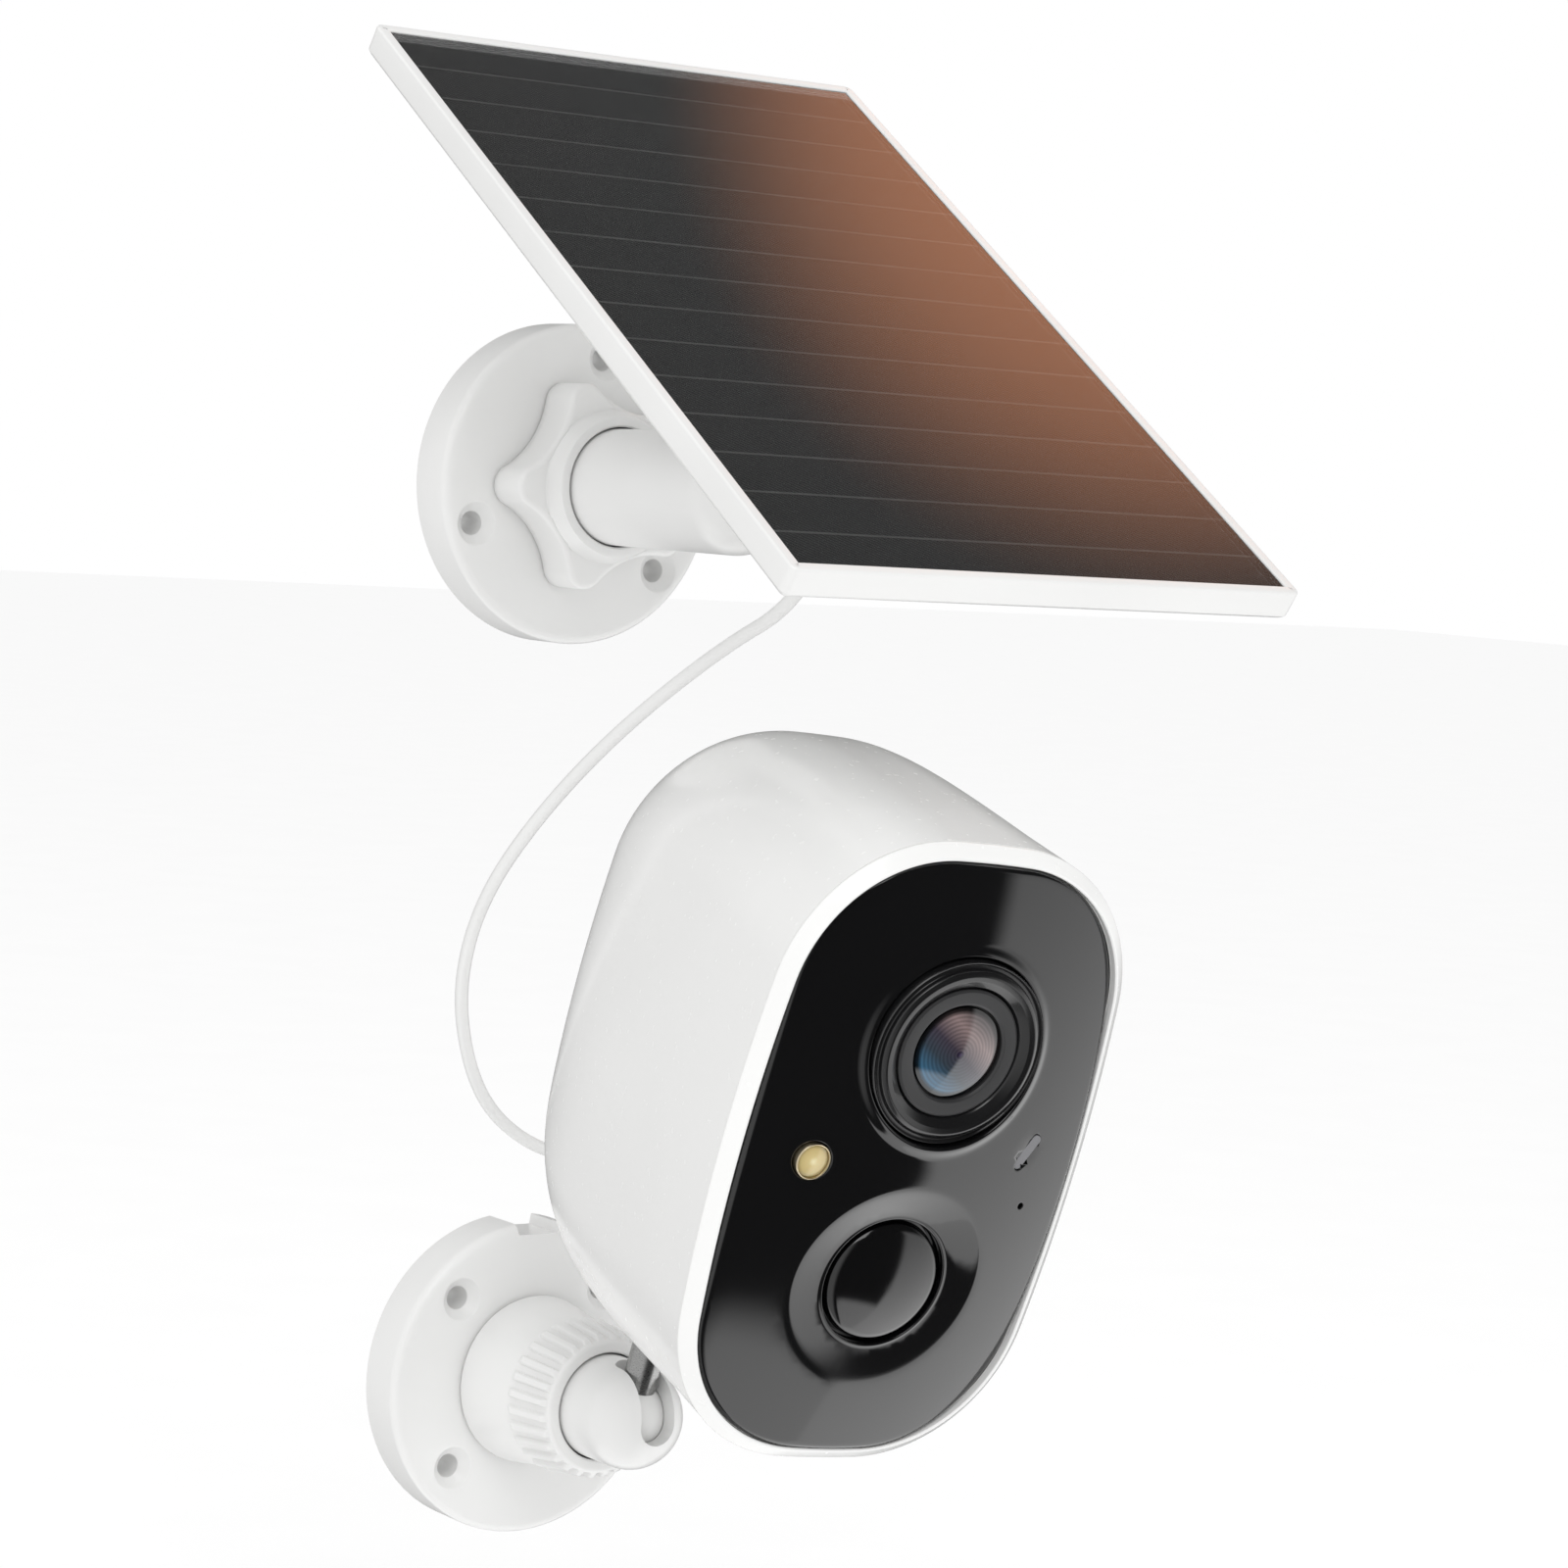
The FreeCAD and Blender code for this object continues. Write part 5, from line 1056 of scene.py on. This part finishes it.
def roundRectRing(halfW, halfH, corner, steps=8):
    # four quarter circles; each point keeps its outward normal
    parts = []
    for sx, sz, a0 in ((1, 1, 0.0), (-1, 1, 0.5), (-1, -1, 1.0), (1, -1, 1.5)):
        t = (a0 + np.linspace(0, 0.5, steps + 1)) * math.pi
        n = np.stack([np.cos(t), np.sin(t)], -1)
        c = np.array([sx * (halfW - corner), sz * (halfH - corner)])
        parts.append(np.concatenate([c + corner * n, n], -1))
    return np.concatenate(parts)


def addTray():
    # a rim and floor profile carried round a rounded rectangle
    p = tray
    ring = roundRectRing(p["halfW"], p["halfH"], p["corner"])
    floor = p["back"] + p["floor"]
    profile = rounded([(-1.1, p["back"], 0.4), (0.0, p["back"] + 1.1, 0.5), (0.0, p["front"], 0.45),
                       (-p["rim"], p["front"], 0.3), (-p["rim"], floor, 0.1)], 5)
    profile = np.vstack([[(-12.0, p["back"])], profile, [(-12.0, floor)]])
    # further in than 3 mm the floor's outline keeps square corners
    reach = profile[:, :1]
    x = ring[None, :, 0] + reach * np.where(reach < -3, np.sign(ring[None, :, 0]), ring[None, :, 2])
    y = ring[None, :, 1] + reach * np.where(reach < -3, np.sign(ring[None, :, 1]), ring[None, :, 3])
    z = np.broadcast_to(profile[:, 1:], x.shape)
    flat, faces = closeRows(np.stack([x, y, z], -1), True, True)
    points = toWorld(panelFrame, flat)
    return buildPiece("panelTray", points, outwards(points, faces), whiteBracket, "panel", ("panel_frame",))


# small turned pieces of the front
def addFrontPieces():
    # each piece is a profile of (radius, distance, rounding) turned about its axis
    lens = (0.0, 0.0, 20.4)
    ring = [(10.75, -4.8, 0.1), (11.1, -5.3, 0.3), (12.3, -6.15, 0.3), (13.2, -6.35, 0.5), (13.9, -5.9, 0.4),
            (14.1, -5.1, 0.3), (14.6, -5.0, 0.2), (15.2, -5.7, 0.3), (15.2, 1.2, 0.1), (10.75, 1.2, 0.1)]
    flip = [(r, -d, e) for r, d, e in ring]
    spunPiece("lensBezelRing", flip, cameraFrame, lens, blackRing, "camera", ("lens_bezel_ring",), 160)
    retainer = [(7.9, 5.0, 0.25), (8.3, 5.35, 0.2), (10.2, 5.4, 0.15), (10.62, 5.15, 0.15),
                (10.62, 4.1, 0.05), (7.9, 4.1, 0.05)]
    spunPiece("lensRetainer", retainer, cameraFrame, lens, satinRing, "camera", ("lens_retaining_ring",),
              128)
    domed = [(r, 5.9 - (24.0 - math.sqrt(24.0 ** 2 - r * r))) for r in np.linspace(0, 7.45, 16)]
    glass = [(0, 4.15)] + [(7.55, 4.15, 0.1)] + [(r, d) for r, d in domed[::-1]]
    spunPiece("frontLensElement", glass, cameraFrame, lens, lensPaintedReflection, "camera", ("front_lens_element",), 96)
    sensor = (0.0, 0.0, -19.6)
    curve = [(r, 5.2 - (26.7 - math.sqrt(26.7 ** 2 - r * r))) for r in np.linspace(0, 9.3, 14)]
    dome = [(0, 0.5), (12.2, 0.5, 0.1), (12.2, 1.5, 0.1), (10.1, 1.5, 0.2), (9.9, 2.9, 0.5)] + \
        [(r, d) for r, d in curve[::-1]]
    spunPiece("motionDome", dome, cameraFrame, sensor, sensorDome, "camera", ("motion_sensor_lens",), 96)
    led = (-19.9, float(crownY(np.array(-19.9), np.array(0.6))), 0.6)
    rim = [(2.72, 0.2, 0.05), (2.76, 0.42, 0.08), (2.9, 0.5, 0.1), (3.0, 0.3, 0.1), (3.0, -2.4, 0.05),
           (2.72, -2.4, 0.05)]
    spunPiece("spotlightRim", rim, cameraFrame, led, spotRing, "camera", ("spotlight_ring",), 72)
    bulge = [(r, 0.28 - (16.0 - math.sqrt(256.0 - r * r))) for r in np.linspace(0, 2.68, 10)]
    bead = [(0, -2.0), (2.7, -2.0, 0.1)] + bulge[::-1]
    spunPiece("spotlightLens", bead, cameraFrame, led, spotLens, "camera", ("spotlight_lens",), 64)


def addCameraStem():
    # a white nylon ball moulded on a steel rod whose end is threaded into the boss
    k = {"ballR": 6.2, "rodR": 3.0, "threadR": 3.1, "rodEnd": 15.5, "end": 29.0, "pitch": 0.8}
    meet = math.sqrt(k["ballR"] ** 2 - k["rodR"] ** 2)
    curve = np.linspace(math.acos(meet / k["ballR"]), math.pi, 60)
    ball = [(0, meet - 0.1), (k["rodR"], meet - 0.1)]
    ball += [(float(k["ballR"] * math.sin(a)), float(k["ballR"] * math.cos(a))) for a in curve]
    ball[-1] = (0, -k["ballR"])
    spunPiece("stemBall", ball, stemFrame, (0, 0, 0), whiteBracket, "camera_stem", ("camera_ball_stem",), 96,
              along=(0, 0, 1))
    d = np.arange(k["rodEnd"], k["end"] - 0.3, k["pitch"] / 4)
    ridge = k["threadR"] - 0.12 * (1 - np.cos(2 * math.pi * d / k["pitch"]))
    rod = [(0, meet - 0.1), (k["rodR"], meet - 0.1)] + [(k["rodR"], k["rodEnd"] - 0.2)]
    rod += [(float(a), float(b)) for a, b in zip(ridge, d)] + [(k["rodR"] - 0.4, k["end"]), (0, k["end"])]
    spunPiece("stemRod", rod, stemFrame, (0, 0, 0), steel, "camera_stem", ("camera_ball_stem",), 64,
              along=(0, 0, 1))


def addStemBoss():
    # moulded boss round the brass insert
    boss = [(4.6, -46.0, 0.2), (6.6, -46.0, 0.5), (6.6, -36.8, 0.8), (4.6, -36.8, 0.1)]
    spunPiece("stemBoss", boss, cameraFrame, (0, ballSetting["behindPlate"], 0), whiteBody, "camera", (), 72,
              along=(0, 0, 1))


def ribbedProfile(root, tip, length, ribs, depth, start):
    # a cone with shallow rounded grooves
    d = np.linspace(0, 1, ribs * 10 + 1)
    r = root + (tip - root) * d - depth * (0.5 - 0.5 * np.cos(2 * math.pi * ribs * d)) * (d < 0.999)
    return [(float(a), float(start + length * b)) for a, b in zip(r, d)]


def addGlandAndRings():
    # gland: collar against the box, then a ribbed cone that the cable leaves
    cone = ribbedProfile(3.3, 1.9, 9.6, 5, 0.3, 0.0)
    corners = [(0, -1.7), (4.0, -1.7, 0.1), (4.0, 0.1, 0.05), (5.6, 0.1, 0.1), (5.6, 1.2, 0.4),
               (3.6, 1.3, 0.3)]
    corners += [(r, 2.3 + d) for r, d in cone] + [(0, 11.95)]
    spunPiece("cableGland", corners, panelFrame, (-12.0, -38.0, 25.0), bootRubber, "panel",
              ("cable_gland",), 64, along=(0, 0, -1))


print("cable and camera")
addCamera()
addCable()
print("body")
addShell()
sweepPiece("frontFrame", plateRing(), bezel["corners"], cameraFrame, whiteBody, "camera", ("front_bezel",))
print("front")
addWindow()
addFrontPieces()
print("brackets")
w = wallPlate
addWallPlate("cameraWallPlate", lowerWall, w["lowerCircle"], w["lowerCount"], w["lowerStart"], 10.4, 24.0,
             True, ("camera_bracket_base",))
addWallPlate("panelWallPlate", upperWall, w["upperCircle"], w["upperCount"], w["upperStart"], 11.6, 13.4,
             False, ("panel_bracket_base",))
addKnob()
addStar()
addCameraStem()
addStemBoss()
print("panel")
addTray()
addGlandAndRings()

nodeMaterials = {
    whiteBracket: ["camera_head", "camera_lock_ring", "panel_arm", "panel_lock_ring", "panel_back_box"],
    whiteBody: ["power_button"],
    steel: ["camera_ball_stem", "panel_ball_stem", "board_screws", "case_screws", "panel_box_screws",
            "plug_shell", "charging_port", "motion_sensor", "microphone", "antenna"],
    brass: ["camera_stem_insert", "panel_stem_insert"],
    cellWrap: ["battery_cells"],
    board: ["main_board", "sensor_board", "panel_diode_board", "charging_board"],
    internalBlack: ["lens_barrel", "image_sensor", "battery_holder", "speaker", "button_switch",
                    "camera_ball_seat", "panel_ball_seat", "camera_friction_washer",
                    "panel_friction_washer"],
    spotLens: ["spotlight_led"],
    sealRubber: ["shell_gasket"],
    lensPaintedReflection: ["rear_lens_element"],
    lightPipe: ["status_light_pipe"],
    cells: ["panel_cell_laminate"],
    coverGlass: ["panel_cover_glass"],
}


def dressNodes():
    # the CAD nodes that stay get the finish of what they are made of
    for material, names in nodeMaterials.items():
        for name in names:
            mesh = frame["nodes"][name].data
            mesh.materials.clear()
            mesh.materials.append(material)


# floor and lights
studio = {"floorBelow": 0.1, "floorHalf": 8.0}


def addStudio():
    # floor, room and one soft key light
    z = cadBox[0][2] - studio["floorBelow"]
    h = studio["floorHalf"]
    # painted floor: matt white without any gloss
    material = mouldedPlastic("paleStudioFloor", "#ffffff", "#fefefe", 0.9, 30.0, 0.01,
                              {"Specular IOR Level": 0.0})
    corners = [(-h, -h, z), (h, -h, z), (h, h, z), (-h, h, z)]
    floor = buildPiece("studioFloor", corners, [(0, 1, 2, 3)], material, None)
    floor.visible_glossy = False
    world = bpy.data.worlds.new("paleStudio")
    bpy.context.scene.world = world
    world.use_nodes = True
    tree = world.node_tree
    background = tree.nodes["Background"]
    background.inputs["Color"].default_value = (1, 1, 1, 1)
    addRoom(tree, background)
    bpy.context.scene.view_settings.view_transform = "Standard"
    centre = (0.0, -0.1, 0.08)
    addLight("keyLight", (-0.7, -1.3, 1.3), centre, (0.9, 0.9), 7.0, "#ffffff")


room = {"roomLight": 0.95, "roomGloss": 0.04, "glassDim": 0.7, "boxLight": 1.7, "behindLight": 0.75,
        "behindStart": (1.95, 2.4), "sideStart": (-1.02, -0.92), "sideEnd": (0.5, 0.1),
        "sideTop": (0.3, 0.0), "sideFoot": (-0.1, -0.8), "sideLight": (0.55, 1.1),
        "lowTop": (-0.7, -0.76), "lowStart": (-1.75, -1.6), "lowLight": 0.9, "glowWay": (0.661, 0.39, 0.641),
        "glowFade": (0.9905, 0.9983), "glowLight": 2.1,
        "glowTint": "#ffa56f"}


def addRoom(tree, background):
    # the room is white to look at and lights everything evenly; gloss sees it dim, with a tall soft box on
    # the right, a low one in front, a bright part behind and an evening glow high on the right
    r = room
    way = addNode(tree, "ShaderNodeTexCoord").outputs["Generated"]
    parts = addNode(tree, "ShaderNodeSeparateXYZ", None, {"Vector": way})
    heading = addNode(tree, "ShaderNodeMath", {"operation": "ARCTAN2"},
                      {0: parts.outputs["Y"], 1: parts.outputs["X"]})
    turned = addNode(tree, "ShaderNodeMath", {"operation": "ABSOLUTE"}, {0: heading})
    height = parts.outputs["Z"]
    toGlow = addNode(tree, "ShaderNodeVectorMath",
                     {"operation": "DOT_PRODUCT", 1: Vector(r["glowWay"]).normalized()}, {0: way})
    # each edge of the boxes is a smooth step of a direction between two values
    fades = {}
    for edge, source in (("sideStart", heading), ("sideEnd", heading), ("sideTop", height),
                         ("lowTop", height), ("lowStart", heading), ("behindStart", turned),
                         ("glowFade", toGlow.outputs["Value"])):
        fades[edge] = addNode(tree, "ShaderNodeMapRange", {"interpolation_type": "SMOOTHSTEP",
                                                           "From Min": r[edge][0], "From Max": r[edge][1]},
                              {"Value": source})
    multiply = {"operation": "MULTIPLY"}
    side = addNode(tree, "ShaderNodeMath", multiply, {0: fades["sideStart"], 1: fades["sideEnd"]})
    side = addNode(tree, "ShaderNodeMath", multiply, {0: side, 1: fades["sideTop"]})
    foot = addNode(tree, "ShaderNodeMapRange", {"From Min": r["sideFoot"][0], "From Max": r["sideFoot"][1],
                                                "To Min": r["sideLight"][0], "To Max": r["sideLight"][1]},
                   {"Value": height})
    side = addNode(tree, "ShaderNodeMath", multiply, {0: side, 1: foot})
    low = addNode(tree, "ShaderNodeMath", multiply, {0: fades["lowTop"], 1: fades["lowStart"]})
    low = addNode(tree, "ShaderNodeMath", multiply | {1: r["lowLight"]}, {0: low})
    boxes = addNode(tree, "ShaderNodeMath", {"operation": "MAXIMUM"}, {0: side, 1: low})
    boxes = addNode(tree, "ShaderNodeMath", multiply | {1: r["boxLight"]}, {0: boxes})
    behind = addNode(tree, "ShaderNodeMath", multiply | {1: r["behindLight"]}, {0: fades["behindStart"]})
    bright = addNode(tree, "ShaderNodeMath", {"operation": "MAXIMUM"}, {0: boxes, 1: behind})
    grey = addNode(tree, "ShaderNodeMath", {"operation": "ADD", 1: r["roomGloss"]}, {0: bright})
    glow = addNode(tree, "ShaderNodeMath", multiply | {1: r["glowLight"]}, {0: fades["glowFade"]})
    warm = addNode(tree, "ShaderNodeVectorMath", {"operation": "SCALE", 0: colour(r["glowTint"])[:3]},
                   {"Scale": glow})
    seen = addNode(tree, "ShaderNodeVectorMath", {"operation": "ADD"}, {0: warm, 1: grey})
    # gloss sees the dim room, unless it is looked at through glass or straight from the camera
    rays = addNode(tree, "ShaderNodeLightPath").outputs
    unglazed = addNode(tree, "ShaderNodeMath", {"operation": "SUBTRACT", 0: 1.0},
                       {1: rays["Is Transmission Ray"]})
    indirect = addNode(tree, "ShaderNodeMath", {"operation": "SUBTRACT", 0: 1.0}, {1: rays["Is Camera Ray"]})
    mirrored = addNode(tree, "ShaderNodeMath", multiply, {0: rays["Is Glossy Ray"], 1: unglazed})
    mirrored = addNode(tree, "ShaderNodeMath", multiply, {0: mirrored, 1: indirect})
    dimmed = addNode(tree, "ShaderNodeMath", multiply | {1: r["glassDim"]}, {0: rays["Is Transmission Ray"]})
    veil = addNode(tree, "ShaderNodeMath", {"operation": "SUBTRACT", 0: 1.0}, {1: dimmed})
    lit = addNode(tree, "ShaderNodeMath", multiply | {1: r["roomLight"]}, {0: veil})
    plain = addNode(tree, "ShaderNodeMath", {"operation": "MAXIMUM"}, {0: rays["Is Camera Ray"], 1: lit})
    shade = addNode(tree, "ShaderNodeMix", {"data_type": "RGBA"}, {0: mirrored, 6: plain, 7: seen})
    tree.links.new(shade.outputs[2], background.inputs["Color"])
    background.inputs["Strength"].default_value = 1.0


def addLight(name, place, target, size, power, tint):
    # a rectangle of light aimed at the target
    lamp = bpy.data.lights.new(name, "AREA")
    lamp.shape = "RECTANGLE"
    lamp.size, lamp.size_y = size
    lamp.energy = power
    lamp.color = colour(tint)[:3]
    obj = bpy.data.objects.new(name, lamp)
    bpy.context.scene.collection.objects.link(obj)
    aim = (Vector(target) - Vector(place)).to_track_quat("-Z", "Y").to_matrix().to_4x4()
    aim.translation = Vector(place)
    obj.matrix_world = aim
    return obj


dressNodes()
addStudio()
print("done")
